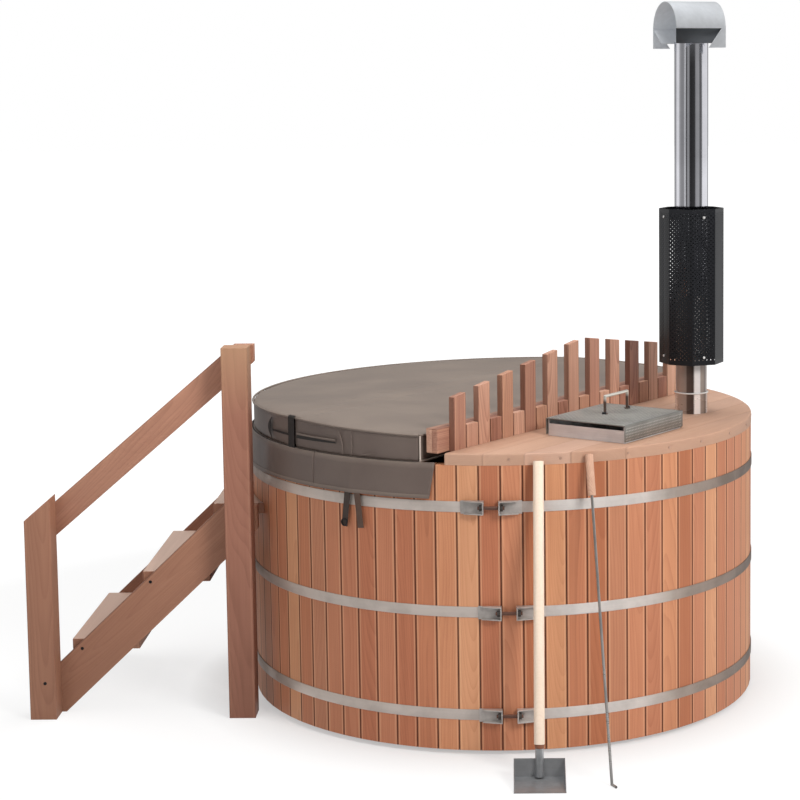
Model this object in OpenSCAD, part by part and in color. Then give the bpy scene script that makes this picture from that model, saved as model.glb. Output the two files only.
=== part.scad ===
// Round wooden hot tub with a submerged wood-fired stove, its picket fence, deck, chimney,
// folding insulated cover, steps with a handrail, and the two fire tools that lean on it.
// The origin is on the ground at the tub's axis. +Z is up, and the steps stand on the -X side.

/* [Tub shell] */
// Outer diameter over the corners of the staves
tub_od = 1800; // [1600:10:2000]
// Length of a stave
stave_len = 937; // [850:1:1100]
// Thickness of a stave
stave_t = 38; // [30:1:45]
// Number of staves
stave_count = 80; // [72:4:96]
// Open joint between two staves
stave_gap = 0.3; // [0.2:0.1:1]
// Air gap between the ground and the ends of the staves
ground_gap = 15; // [8:1:30]
// Stave length below the floor
chime = 65; // [50:1:90]
// Depth of the groove that holds the floor
croze_depth = 12; // [8:1:16]
// Thickness of the floor boards
floor_t = 38; // [30:1:45]
// Width of a floor board
floor_board_w = 135; // [90:1:160]
// Width of a joist under the floor
joist_w = 90; // [60:1:110]
// Distance between joists, as a share of the tub's radius
joist_pitch_share = 0.367; // [0.3:0.001:0.37]

/* [Hoops] */
// Height of a hoop band
hoop_h = 35; // [25:1:45]
// Thickness of a hoop band
hoop_t = 2; // [1.5:0.5:3]
// Height of the bottom hoop's middle
hoop_low_z = 135; // [100:1:200]
// Height of the middle hoop's middle
hoop_mid_z = 474; // [350:1:600]
// Height of the top hoop's middle
hoop_top_z = 818; // [700:1:820]
// Direction of the top hoop's lugs
top_lug_angle = -91.9; // [-95:0.5:-80]
// Direction of the lower two hoops' lugs
low_lug_angle = -88.5; // [-95:0.5:-80]
// Length of a lug along the band
lug_len = 75; // [50:1:90]
// Height of a lug
lug_h = 43; // [38:1:46]
// Plate thickness of a lug
lug_t = 3; // [2:0.5:4]
// How far a lug stands out from the band
lug_reach = 27; // [24:1:34]
// Diameter of the tension rod
rod_d = 12; // [8:1:14]
// Free distance between the two lugs
rod_gap = 47; // [30:1:60]
// Nut size over the flats
nut_af = 19; // [17:1:22]
// Nut thickness
nut_t = 10; // [8:1:12]

/* [Bench] */
// Height of the seat above the ground
seat_z = 450; // [400:1:520]
// Thickness of a seat board
seat_t = 38; // [30:1:45]
// Width of a seat board
seat_board_w = 140; // [110:1:145]
// Distance from the tub's axis to the seat's front edge, as a share of the tub's radius
seat_front_share = 0.628; // [0.6:0.001:0.66]
// Height of a bearer under the seats
bearer_h = 89; // [70:1:110]
// Thickness of a bearer
bearer_t = 38; // [30:1:45]
// Width of a bench leg
leg_w = 89; // [70:1:100]

/* [Fence] */
// Direction from the tub's axis to the middle of the fence
fence_angle = -35; // [-45:1:-30]
// Distance from the tub's axis to the fence's stove side, as a share of the tub's radius
fence_share = 0.4; // [0.38:0.005:0.42]
// Thickness of a fence slat
slat_t = 21; // [16:1:24]
// Gap between two slats
slat_gap = 3; // [2:0.5:8]
// Number of tall slats
tall_count = 12; // [8:2:14]
// Height of the short slats above the deck
short_rise = 76; // [50:1:120]
// Height of the fence's middle above the deck
peak_rise = 283; // [200:1:340]
// Fall of the tall slats' tops per unit of length
peak_slope = 0.143; // [0:0.01:0.2]
// Thickness of a fence rail
rail_t = 22; // [16:1:23]
// Height of a fence rail
rail_h = 80; // [60:1:95]
// Distance that the upper rails end inside the tub's edge
rail_inset = 18; // [18:1:40]

/* [Deck] */
// Thickness of the deck boards
deck_t = 38; // [30:1:45]
// Width of a deck board
deck_board_w = 108; // [90:1:140]
// Rounding of the deck's curved edge
deck_round = 6; // [3:1:10]
// Height of a bearer under the deck
deck_bearer_h = 60; // [40:1:70]

/* [Stove] */
// Gap between the fence and the stove
stove_gap = 80; // [70:1:84]
// Width of the stove across the fence, as a share of the room behind the fence
stove_w_share = 0.611; // [0.54:0.001:0.615]
// Length of the stove along the fence, as a share of the tub's radius
stove_l_share = 0.851; // [0.78:0.001:0.855]
// Height of the stove's top below the stave tops
stove_cover = 137; // [90:1:220]
// Wall of the stove box
stove_wall = 5; // [4:1:8]
// Rounding of the stove's upright corners
stove_round = 60; // [50:1:80]
// Height of the stove's feet
foot_h = 42; // [30:1:50]
// Distance from the stove's side to the neck
neck_inset = 15; // [14:1:40]
// Neck size along the fence, as a share of the stove's length
neck_l_share = 0.47; // [0.4:0.005:0.475]
// Wall of the neck
neck_wall = 4; // [3:1:6]
// Height of the neck's end walls above the deck
neck_rise = 41; // [30:1:60]
// Air gap above the neck's end walls
air_gap = 15; // [8:1:20]
// Plate thickness of the lid
lid_t = 3; // [2:0.5:5]
// Grip height of the lid's handle
handle_h = 60; // [45:1:80]
// Length of the lid's handle
handle_l = 152; // [120:1:180]
// Bar diameter of the lid's handle
handle_d = 10; // [8:1:14]

/* [Chimney] */
// Distance of the flue from the stove's middle line
flue_offset = 14; // [0:1:18]
// Distance of the flue from the stove's end
flue_inset = 82; // [78:1:90]
// Outer radius of the lower pipe
pipe_r = 55; // [50:0.5:56]
// Outer radius of the upper pipe
upper_pipe_r = 59.5; // [58.5:0.5:62]
// Wall of the pipes
pipe_wall = 1.5; // [1:0.5:2]
// Height of the collar's top above the deck
collar_rise = 76; // [50:1:120]
// Top of the lower pipe above the deck
lower_pipe_rise = 520; // [480:1:600]
// Top of the upper pipe above the deck
pipe_rise = 1311; // [1000:1:1500]
// Overlap of the upper pipe on the lower one
pipe_lap = 100; // [60:1:110]
// Distance between opposite corners of the heat guard
guard_w = 228; // [200:1:250]
// Plate thickness of the heat guard
guard_t = 2; // [1.5:0.5:3]
// Bottom of the heat guard above the deck
guard_rise = 180; // [140:1:240]
// Height of the heat guard
guard_h = 549; // [480:1:560]
// Radius of the cap's half-round hood
hood_r = 95; // [80:1:110]
// Length of the hood
hood_l = 190; // [170:1:240]
// Sheet thickness of the hood
hood_t = 2; // [1.5:0.5:3]
// Direction of the hood's length
hood_angle = 21; // [0:1:90]
// Clear height between the pipe and the hood's lips
hood_gap = 45; // [40:1:90]
// Height of the pointed tabs under the hood's lips
tab_h = 67; // [40:1:70]

/* [Cover] */
// Distance of the cover's rim inside the tub's edge
cover_inset = 2; // [2:1:16]
// Thickness of the cover at its rim
cover_t = 95; // [70:1:130]
// Thickness of the cover at its fold
cover_fold_t = 110; // [95:1:130]
// Gap between the cover's straight edge and the fence rail
cover_gap = 13; // [13:1:40]
// Distance from the tub's axis to the fold, as a share of the tub's radius
cover_fold_share = 0.28; // [0.22:0.001:0.3]
// Length of the skirt below the stave tops
skirt_drop = 109; // [60:1:110]
// Thickness of the skirt
skirt_t = 3; // [2:0.5:4]
// Width of the webbing over the fold
webbing_w = 38; // [20:1:40]
// Thickness of the webbing
webbing_t = 2; // [1:0.5:3]

/* [Steps] */
// Rise from tread to tread
rise = 238; // [200:1:250]
// Run from tread to tread
run = 252; // [230:1:280]
// Height of the first tread
first_rise = 250; // [200:1:260]
// Depth of a tread
tread_d = 235; // [200:1:240]
// Thickness of the treads, the stringers and the handrail
tread_t = 38; // [30:1:42]
// Width between the stringers
tread_l = 639; // [500:1:660]
// Width of a stringer board
stringer_w = 140; // [120:1:160]
// Front face of the posts
post_front = -492; // [-500:1:-480]
// Side of a square post
post_w = 90; // [80:1:95]
// Distance between the two posts
post_span = 596; // [560:1:620]
// How far the tall post's left side stands out past the tub's side
tall_post_out = 43; // [35:1:60]
// Height of the tall post
tall_post_h = 1284; // [1150:1:1350]
// Width of the handrail board
handrail_w = 90; // [70:1:95]
// Height of the short post at its left side
short_post_h = 696; // [600:1:760]

/* [Drain] */
// Height of the drain
drain_z = 190; // [180:1:230]
// Bore of the drain
drain_bore = 12; // [9:0.5:13]
// Outer radius of the through-wall tube
drain_tube_r = 16.8; // [15:0.1:18]
// Radius of the hose spigot
spigot_r = 13; // [12:0.5:14]
// Length of the hose spigot
spigot_l = 40; // [30:1:50]

/* [Fire tools] */
// Diameter of the shovel's handle
shaft_d = 34; // [28:1:38]
// Height of the shovel's handle
shovel_h = 985; // [900:1:1100]
// Width of the shovel's pan
pan_w = 162; // [130:1:200]
// Depth of the shovel's pan
pan_l = 150; // [120:1:180]
// Height of the pan's back wall
pan_h = 60; // [40:1:80]
// Sheet thickness of the pan
pan_t = 2; // [1.5:0.5:3]
// Diameter of the poker's rod
poker_d = 9; // [7:0.5:12]
// Diameter of the poker's wooden grip
grip_d = 26; // [20:1:32]
// Height of the poker's top
poker_h = 975; // [900:1:1100]

/* [Hidden] */
$fn = 96;

// Common values
over = 1;              // overrun of a cut past a face
board_gap = 0.6;       // gap between two boards
seat = 0.3;            // gap at which a piece lies on its seat
fit = 0.05;            // radial clearance of a turning fit
full_turn = 360;
cedar = [0.76, 0.45, 0.30];
dark_cedar = [0.55, 0.33, 0.24];
steel = [0.78, 0.78, 0.77];
black = [0.12, 0.12, 0.13];
vinyl = [0.45, 0.41, 0.38];
webbing_colour = [0.12, 0.10, 0.10];
brass = [0.75, 0.60, 0.30];
alloy = [0.62, 0.62, 0.60];

// Shell
stave_angle = full_turn / stave_count;
shell_r = tub_od / 2;
shell_face = shell_r * cos(stave_angle / 2);
bore_face = shell_face - stave_t;
floor_z = ground_gap + chime;
floor_top = floor_z + floor_t;
stave_top = ground_gap + stave_len;
deck_top = stave_top + deck_t;
floor_r = bore_face + croze_depth - seat;
joist_pitch = joist_pitch_share * shell_r;
floor_count = 2 * ceil((floor_r / floor_board_w - 1 / 2)) + 1;
joist_count = 5;
joist_side = 8;        // gap between a joist's end and the staves

// Hoops
hoop_seat = 0.1;
hoop_in = shell_r + hoop_seat;
hoop_out = hoop_in + hoop_t;
lug_angle = asin(lug_len / hoop_out);
gap_angle = asin(rod_gap / 2 / hoop_out);
flange_t = 4;
web_run = 64;          // length of a lug's side web
web_end = 13;          // height of the web at its far end
rod_out = hoop_out + lug_t + nut_af / 2 + 2.5;
rod_hole = 0.4;        // clearance of the rod in a lug
rod_tail = 5;
nut_seat = lug_reach * sin(gap_angle);    // clears the lug's slanted flange
hoop_places = [[hoop_low_z, low_lug_angle], [hoop_mid_z, low_lug_angle], [hoop_top_z, top_lug_angle]];

// Bench
seat_gap = 6;
seat_front = seat_front_share * shell_r;
bench_turns = [-60, 0, 60];
bench_half = 30;       // half the sweep of one bench
bench_end = 35;        // sweep of a side bench towards the fence
bench_joint = 0.6;     // half the sweep of the gap between two benches
bearer_turns = [-92.5, -30, 30, 92.5];
bearer_in = seat_front + 10;
bearer_out = bore_face - 4;

// Fence
fence_dist = fence_share * shell_r;
fence_in = fence_dist - slat_t;
fence_end_gap = 13;    // gap between the last slat and the staves
fence_half = sqrt(pow(bore_face, 2) - pow(fence_dist, 2)) - fence_end_gap;
slat_pitch = (2 * fence_half + slat_gap) / (2 * tall_count - 1);
slat_w = slat_pitch - slat_gap;
rails_in = fence_in - 2 * rail_t - board_gap;
rail_reach = sqrt(pow(shell_r, 2) - pow(rails_in, 2)) - rail_inset;
low_rail_rise = 60;
low_rail_z = floor_top + low_rail_rise;
low_rail_reach = sqrt(pow(bore_face, 2) - pow(fence_in, 2)) - over;
rail_drop = 3;         // rail bottom below the deck's top

// Deck
deck_in = fence_dist + seat;
deck_count = ceil((shell_r - deck_in) / deck_board_w);
deck_bearer_t = 38;
deck_screw_angles = [-88.2, -77.6, -70.8, -62.6, -52, -42, -30, -18, -4, 8, 18];
screw_head_r = 4.5;
screw_head_t = 1.5;
screw_r = 2;
screw_l = 30;

// Stove
stove_z = floor_top + foot_h;
stove_top = stave_top - stove_cover;
stove_h = stove_top - stove_z;
stove_w = stove_w_share * (shell_r - fence_dist);
stove_l = stove_l_share * shell_r;
stove_out = fence_dist + stove_gap + stove_w / 2;
neck_w = stove_w - 2 * neck_inset;
neck_l = neck_l_share * stove_l;
neck_end_inset = 13;   // distance from the stove's end to the neck
neck_along = neck_end_inset + neck_l / 2 - stove_l / 2;
flue_out = stove_out + flue_offset;
flue_along = stove_l / 2 - flue_inset;
neck_bearer_gap = 70;
flue_bearer_gap = 129;
deck_bearer_alongs = [neck_along - neck_l / 2 - neck_bearer_gap,
    (neck_along + neck_l / 2 + flue_along) / 2 - neck_bearer_gap / 2, flue_along + flue_bearer_gap];
neck_top = deck_top + neck_rise;
lid_z = neck_top + air_gap;
neck_flange = 12;
neck_gap = 2;          // gap round the neck in the deck
lid_over_w = 3;        // gap between the neck and the lid's side
lid_over_l = 6;        // overhang of the lid past the neck's ends
lid_skirt_gap = 4;     // gap between the lid's skirt and the deck
foot_end_inset = 83;
foot_side_inset = 55;
foot_alongs = [foot_end_inset - stove_l / 2, stove_l / 2 - foot_end_inset];
foot_sides = [foot_side_inset - stove_w / 2, stove_w / 2 - foot_side_inset];
foot_w = 70;
foot_plate_t = 6;
lag_r = 5;
lag_l = 34;
lag_head_r = 9;
lag_head_t = 7;
grate_bar_w = 14;
grate_bar_t = 12;
grate_leg_h = 60;
grate_inset = 30;
grate_end_inset = 63;
grate_w = stove_w - 2 * grate_inset;
grate_l = stove_l - 2 * grate_end_inset;
grate_bars = 9;
handle_side = -30;     // handle's place on the lid across the fence
handle_along = 56;     // handle's place on the lid towards the chimney

// Chimney
collar_r = pipe_r + 2;
collar_flange_r = 74;
collar_flange_t = 4;
bead_r = collar_r + 1.5;
bead_h = 7;
pipe_fit = 0.1;
pipe_in_collar = 110;
collar_top = deck_top + collar_rise;
lower_pipe_top = deck_top + lower_pipe_rise;
pipe_top = deck_top + pipe_rise;
pipe_shoulder = 2;
guard_z = deck_top + guard_rise;
guard_turn = -3;       // one corner nearly faces the bathers' near side
guard_sides = 8;
guard_flat = guard_w / 2 * cos(full_turn / guard_sides / 2);
spacer_w = 16;
spacer_inset = 28;
guard_screw_angles = [0, 45];
hood_z = pipe_top + hood_gap;
flap_inset_share = 0.08;
flap_lap = 6;          // the flaps reach below the pipe's top
hood_off = 8;          // the hood stands off the pipe's middle, towards its left end
tab_top_w = 16;
tab_foot_w = 66;

// Cover
cover_r = shell_r - cover_inset;
cover_edge = rails_in - cover_gap;
cover_fold = cover_fold_share * shell_r;
cover_z = stave_top + seat;
cover_rim_z = cover_z + cover_t;
cover_fold_z = cover_z + cover_fold_t;
cover_joint = 0.6;     // gap between the two halves
skirt_top_gap = 3;     // skirt above the stave tops, on the cover's side
skirt_out = shell_r + 4.5;
skirt_low_out = shell_r + 9;
split_share = 0.5;     // place of the skirt's split between the fold and the tub's axis
skirt_split = split_share * cover_fold;
skirt_past = 51;       // the skirt ends past the cover's straight edge
skirt_end_angle = acos((cover_edge + skirt_past) / skirt_out);
skirt_split_angle = acos(-skirt_split / skirt_out);
skirt_joint_angle = 0.12;
fold_angle = acos(-cover_fold / cover_r);
handle_fold_gap = 29;  // distance from the fold to a cover handle
cover_handle_l = 192;
cover_handle_ends = [handle_fold_gap - cover_fold, handle_fold_gap + cover_handle_l - cover_fold];
cover_handle_h = 36;
cover_handle_z = stave_top + 36;
strap_w = 23;
strap_t = 2.5;
strap_l = 140;
strap_angles = [-88, -86];
strap_leans = [-7, 7];
strap_hang_z = stave_top - skirt_drop + 26;
ring_r = 13;
ring_wire = 3;

// Steps
slope = rise / run;
pitch = atan(slope);
tall_post_x = -shell_r - tall_post_out;
short_post_x = tall_post_x - post_span - post_w;
foot_out = 624;        // distance from the tub's side to where the stringer's lower edge meets the ground
foot_x = -shell_r - foot_out;
foot_flat = 76;
stringer_back = foot_x - foot_flat;
stringer_drop = stringer_w / cos(pitch);
stringer_y = post_front + post_w;
far_stringer_y = stringer_y + tread_t + tread_l;
tread_inset = 20;      // a tread's front edge behind the stringer's lower edge at its height
tread_x = foot_x + tread_inset;
treads = 3;
top_tread_z = first_rise + (treads - 1) * rise;
end_overhang = 10;     // boards end past the tall post's right side
near_end_x = tall_post_x + post_w + end_overhang;
rail_rise = 50;        // the handrail's top above the short post's left corner
rail_top_drop = 26.6;  // the handrail's top below the tall post's top, at its left side
handrail_top_at_post = short_post_h + rail_rise;
rail_slope = (tall_post_h - rail_top_drop - handrail_top_at_post) / post_span;
rail_pitch = atan(rail_slope);
handrail_drop = handrail_w / cos(rail_pitch);
handrail_inset = 20;
handrail_x = short_post_x + handrail_inset;
cleat_h = 36;
cleat_t = 36;
cleat_l = 118;
cleat_inset = 34;
bolt_r = 5;
bolt_head_r = 11;
bolt_head_t = 7;
bolt_blind = 35;       // the bolts stop this far behind the posts' front
bolt_clear = 0.1;

// Drain
drain_index = 24;
drain_angle = (drain_index + 1 / 2) * stave_angle;
drain_flange_r = 28;
drain_flange_t = 5;
drain_tube_l = 34;
locknut_t = 10;
valve_r = 24;
valve_l = 52;
plug_r = 15;
plug_h = 30;
plug_inset = 44;       // distance from the locknut to the plug's axis
plug_out = shell_face + locknut_t + plug_inset;
stem_r = 4;
stem_rise = 32;
lever_l = 85;
lever_w = 14;
lever_t = 4;

// Fire tools
shaft_x = 122;
shaft_lean = [-7, -210.6];
shaft_lean_gap = 0.5;
shaft_head = [shaft_x, -sqrt(pow(shell_r + shaft_d / 2 + shaft_lean_gap, 2) - pow(shaft_x, 2))];
shaft_foot = shaft_head + shaft_lean;
socket_r = 13.5;
socket_l = 88;
ferrule_h = 13;
socket_z = 4;
poker_x = 285;
poker_lean = [53, -327.6];
poker_head = [poker_x, -sqrt(pow(shell_r + grip_d / 2, 2) - pow(poker_x, 2))];
poker_foot = poker_head + poker_lean;
grip_l = 132;
poker_hook = 24;

// Places a shape in the fence's frame: x leads away from the bathers, y runs along the fence
module by_fence() { rotate([0, 0, fence_angle]) children(); }

// Half-plane as a large block: everything on the +x side of x0
module beyond(x0, z0, h) {
    translate([x0, -tub_od, z0]) cube([2 * tub_od, 2 * tub_od, h]);
}

// Rounded rectangle, centred
module round_rect(w, l, r) {
    square([w - 2 * r, l], center = true);
    square([w, l - 2 * r], center = true);
    for (sx = [-1, 1], sy = [-1, 1]) translate([sx * (w / 2 - r), sy * (l / 2 - r)]) circle(r);
}

// Ring sector with a rectangular section, between two angles
module ring_sector(r0, r1, z0, h, a0, a1) {
    rotate([0, 0, a0]) rotate_extrude(angle = a1 - a0)
        translate([r0, z0]) square([r1 - r0, h]);
}

// Straight round bar between two points
module bar(a, b, r) {
    d = b - a;
    translate(a) rotate([0, acos(d[2] / norm(d)), atan2(d[1], d[0])]) cylinder(r = r, h = norm(d));
}

// Tub shell

module stave_profile() {
    ho = shell_face * tan(stave_angle / 2) - stave_gap / 2;
    hi = bore_face * tan(stave_angle / 2) - stave_gap / 2;
    polygon([[shell_face, -ho], [shell_face, ho], [bore_face, hi], [bore_face, -hi]]);
}

module drain_axis() {
    rotate([0, 0, drain_angle]) translate([0, 0, drain_z]) rotate([0, 90, 0]) children();
}

module staves() {
    color(cedar) difference() {
        for (i = [0 : stave_count - 1]) rotate([0, 0, (i + 1 / 2) * stave_angle]) difference() {
            translate([0, 0, ground_gap]) linear_extrude(stave_len) stave_profile();
            translate([bore_face - over, -shell_r / 2, floor_z - seat / 2])
                cube([croze_depth + over, shell_r, floor_t + seat]);
        }
        drain_axis() cylinder(r = drain_tube_r + seat / 2, h = tub_od);
    }
}

module floor_boards() {
    color(dark_cedar) difference() {
        intersection() {
            translate([0, 0, floor_z]) cylinder(r = floor_r, h = floor_t);
            for (i = [0 : floor_count - 1])
                translate([-shell_r, (i - floor_count / 2) * floor_board_w + board_gap / 2, floor_z - over])
                    cube([tub_od, floor_board_w - board_gap, floor_t + 2 * over]);
        }
        lag_places() translate([0, 0, floor_top - lag_l])
            cylinder(r = lag_r + bolt_clear, h = lag_l + over);
    }
}

module chine_joists() {
    color(dark_cedar) for (i = [0 : joist_count - 1]) {
        x = (i - (joist_count - 1) / 2) * joist_pitch;
        half = sqrt(pow(bore_face - joist_side, 2) - pow(abs(x) + joist_w / 2, 2));
        translate([x - joist_w / 2, -half, 0]) cube([joist_w, 2 * half, floor_z]);
    }
}

// Hoops: a flat band that ends at two lugs, drawn together by a threaded rod

module hoop(z, turn) {
    color(steel) rotate([0, 0, turn + gap_angle])
        rotate_extrude(angle = full_turn - 2 * gap_angle)
            translate([hoop_in, z - hoop_h / 2]) square([hoop_t, hoop_h]);
}

module hoop_bottom() { hoop(hoop_low_z, low_lug_angle); }

module hoop_middle() { hoop(hoop_mid_z, low_lug_angle); }

module hoop_top() { hoop(hoop_top_z, top_lug_angle); }

// One lug on the side where the angle grows: x is outward and y runs along the band
module lug() {
    ring_sector(hoop_out, hoop_out + lug_t, -lug_h / 2, lug_h, gap_angle, gap_angle + lug_angle);
    rotate([0, 0, gap_angle]) difference() {
        union() {
            translate([hoop_out, 0, -lug_h / 2]) cube([lug_reach, flange_t, lug_h]);
            for (s = [-1, 1]) translate([0, 0, s * (lug_h - lug_t) / 2 - lug_t / 2])
                linear_extrude(lug_t) polygon([
                    [hoop_out + lug_t / 2, 0], [hoop_out + lug_reach, 0],
                    [hoop_out + lug_reach, flange_t], [hoop_out + web_end, web_run],
                    [hoop_out + lug_t / 2, web_run]]);
        }
        rotate([0, 0, -gap_angle]) translate([rod_out, 0, 0]) rotate([-90, 0, 0])
            cylinder(r = rod_d / 2 + rod_hole, h = lug_len);
    }
}

module each_hoop() {
    for (p = hoop_places) rotate([0, 0, p[1]]) translate([0, 0, p[0]]) children();
}

module hoop_lugs() {
    color(steel) each_hoop() { lug(); mirror([0, 1, 0]) lug(); }
}

rod_half = rod_gap / 2 + flange_t + nut_seat + nut_t + rod_tail;

module tension_rods() {
    color(steel) each_hoop() translate([rod_out, -rod_half, 0]) rotate([-90, 0, 0])
        cylinder(r = rod_d / 2, h = 2 * rod_half, $fn = 32);
}

module hoop_nuts() {
    color(steel) each_hoop() for (s = [0, 1]) mirror([0, s, 0])
        translate([rod_out, rod_gap / 2 + flange_t + nut_seat, 0]) rotate([-90, 0, 0]) difference() {
            cylinder(d = nut_af / cos(30), h = nut_t, $fn = 6);
            translate([0, 0, -over]) cylinder(r = rod_d / 2 + fit, h = nut_t + 2 * over, $fn = 32);
        }
}

// Bench round the bathers' side

module by_bench(turn) { rotate([0, 0, fence_angle + full_turn / 2 + turn]) children(); }

// Wedge from the axis between two angles
module wedge(a0, a1, z0, h) {
    far = tub_od;
    translate([0, 0, z0]) linear_extrude(h)
        polygon([[0, 0], [far * cos(a0), far * sin(a0)], [far, 0], [far * cos(a1), far * sin(a1)]]);
}

module bench_seats() {
    z0 = seat_z - seat_t;
    color(cedar) for (t = bench_turns) by_bench(t) intersection() {
        cylinder(r = bore_face - over, h = tub_od);
        wedge(t < 0 ? -bench_end : bench_joint - bench_half,
            t > 0 ? bench_end : bench_half - bench_joint, z0 - over, seat_t + 2 * over);
        for (k = [0, 1])
            translate([seat_front + k * (seat_board_w + seat_gap), -shell_r, z0])
                cube([seat_board_w, tub_od, seat_t]);
    }
}

module bench_bearers() {
    color(cedar) for (t = bearer_turns) by_bench(t)
        translate([bearer_in, -bearer_t / 2, seat_z - seat_t - bearer_h])
            cube([bearer_out - bearer_in, bearer_t, bearer_h]);
}

module bench_legs() {
    h = seat_z - seat_t - bearer_h - floor_top;
    color(cedar) for (t = bearer_turns, x = [bearer_in, bearer_out - leg_w]) by_bench(t)
        translate([x, -bearer_t / 2, floor_top]) cube([leg_w, bearer_t, h]);
}

// Fence between the bathers and the stove

function peak_z(y) = deck_top + peak_rise - peak_slope * abs(y);

module slat_block(y) {
    translate([fence_in, y - slat_w / 2, floor_top]) cube([slat_t, slat_w, stave_len]);
}

module fence_tall_slats() {
    color(cedar) by_fence() for (i = [0 : tall_count - 1]) {
        y = (2 * i - (tall_count - 1)) * slat_pitch;
        y0 = y - slat_w / 2;
        y1 = y + slat_w / 2;
        translate([fence_in, 0, 0]) rotate([90, 0, 90]) linear_extrude(slat_t)
            polygon([[y0, floor_top], [y1, floor_top], [y1, peak_z(y1)], [y0, peak_z(y0)]]);
    }
}

module fence_short_slats() {
    color(cedar) by_fence() for (i = [0 : tall_count - 2])
        translate([fence_in, (2 * i - (tall_count - 2)) * slat_pitch - slat_w / 2, floor_top])
            cube([slat_t, slat_w, deck_top + short_rise - floor_top]);
}

module fence_rails() {
    rail_z = deck_top - rail_drop;
    color(cedar) by_fence() {
        for (k = [1, 2])
            translate([fence_in - k * (rail_t + board_gap) + board_gap, -rail_reach, rail_z])
                cube([rail_t, 2 * rail_reach, rail_h]);
        translate([fence_in - rail_t, -low_rail_reach, low_rail_z])
            cube([rail_t, 2 * low_rail_reach, rail_h]);
    }
}

// Deck over the stove

module deck_disc() {
    r = shell_r;
    c = deck_round;
    rotate_extrude() union() {
        translate([0, stave_top]) square([r - c, deck_t]);
        translate([0, stave_top]) square([r, deck_t - c]);
        translate([r - c, deck_top - c]) circle(c, $fn = 32);
    }
}

module deck_boards() {
    color(cedar) by_fence() difference() {
        intersection() {
            deck_disc();
            for (i = [0 : deck_count - 1])
                translate([deck_in + i * deck_board_w, -shell_r, stave_top - over])
                    cube([deck_board_w - board_gap, tub_od, deck_t + 2 * over]);
        }
        translate([stove_out, neck_along, stave_top - over])
            linear_extrude(deck_t + 2 * over)
                square([neck_w + 2 * neck_gap, neck_l + 2 * neck_gap], center = true);
        translate([flue_out, flue_along, stave_top - over])
            cylinder(r = collar_r + seat, h = deck_t + 2 * over);
        rotate([0, 0, -fence_angle]) screw_places()
            cylinder(r = screw_r + bolt_clear, h = screw_l + over, $fn = 24);
    }
}

// Each screw leads inward from the deck's curved edge
module screw_places() {
    for (a = deck_screw_angles) rotate([0, 0, a])
        translate([shell_r - screw_l, 0, stave_top + deck_t / 2]) rotate([0, 90, 0]) children();
}

module deck_screws() {
    color(steel) screw_places() {
        cylinder(r = screw_r, h = screw_l, $fn = 24);
        translate([0, 0, screw_l]) cylinder(r = screw_head_r, h = screw_head_t, $fn = 24);
    }
}

module deck_bearers() {
    color(cedar) by_fence() for (y = deck_bearer_alongs) {
        reach = sqrt(pow(bore_face, 2) - pow(abs(y) + deck_bearer_t / 2, 2)) - over;
        translate([deck_in, y - deck_bearer_t / 2, stave_top - deck_bearer_h])
            cube([reach - deck_in, deck_bearer_t, deck_bearer_h]);
    }
}

// Stove

module stove_outline(inset) {
    round_rect(stove_w - 2 * inset, stove_l - 2 * inset, stove_round - inset);
}

module neck_hole(inset) {
    square([neck_w - 2 * inset, neck_l - 2 * inset], center = true);
}

module stove_box() {
    color(alloy) by_fence() translate([stove_out, 0, stove_z]) difference() {
        linear_extrude(stove_h) stove_outline(0);
        translate([0, 0, stove_wall]) linear_extrude(stove_h - 2 * stove_wall) stove_outline(stove_wall);
        translate([0, neck_along, stove_h / 2]) linear_extrude(stove_h) neck_hole(neck_wall);
        translate([flue_out - stove_out, flue_along, stove_h / 2])
            cylinder(r = pipe_r - pipe_wall, h = stove_h);
    }
}

module stove_grate() {
    z0 = stove_z + stove_wall;
    color(black) by_fence() translate([stove_out, 0, z0]) {
        for (i = [0 : grate_bars - 1])
            translate([(i / (grate_bars - 1) - 1 / 2) * (grate_w - grate_bar_w) - grate_bar_w / 2,
                    -grate_l / 2, grate_leg_h])
                cube([grate_bar_w, grate_l, grate_bar_t]);
        for (y = [-1, 0, 1])
            translate([-grate_w / 2, y * (grate_l / 2 - grate_bar_w) - grate_bar_w / 2,
                    grate_leg_h - grate_bar_t])
                cube([grate_w, grate_bar_w, grate_bar_t + over]);
        for (x = [-1, 1], y = [-1, 1])
            translate([x * (grate_w - grate_bar_w) / 2 - grate_bar_w / 2,
                    y * (grate_l / 2 - grate_bar_w) - grate_bar_w / 2, 0])
                cube([grate_bar_w, grate_bar_w, grate_leg_h]);
    }
}

module foot_places() {
    by_fence() for (y = foot_alongs, s = foot_sides) translate([stove_out + s, y, 0]) children();
}

module lag_places() {
    foot_places() translate([foot_w / 4, 0, 0]) children();
}

module stove_feet() {
    color(alloy) foot_places() difference() {
        union() {
            for (z = [floor_top, stove_z - foot_plate_t])
                translate([-foot_w / 2, -foot_w / 2, z]) cube([foot_w, foot_w, foot_plate_t]);
            translate([-foot_plate_t / 2, -foot_w / 2, floor_top])
                cube([foot_plate_t, foot_w, foot_h]);
        }
        translate([foot_w / 4, 0, floor_top - over])
            cylinder(r = lag_r + bolt_clear, h = foot_plate_t + 2 * over, $fn = 32);
    }
}

module stove_lag_screws() {
    color(steel) lag_places() translate([0, 0, floor_top - lag_l + over]) {
        cylinder(r = lag_r, h = lag_l - over + foot_plate_t, $fn = 32);
        translate([0, 0, lag_l - over + foot_plate_t]) cylinder(r = lag_head_r, h = lag_head_t, $fn = 6);
    }
}

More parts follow.
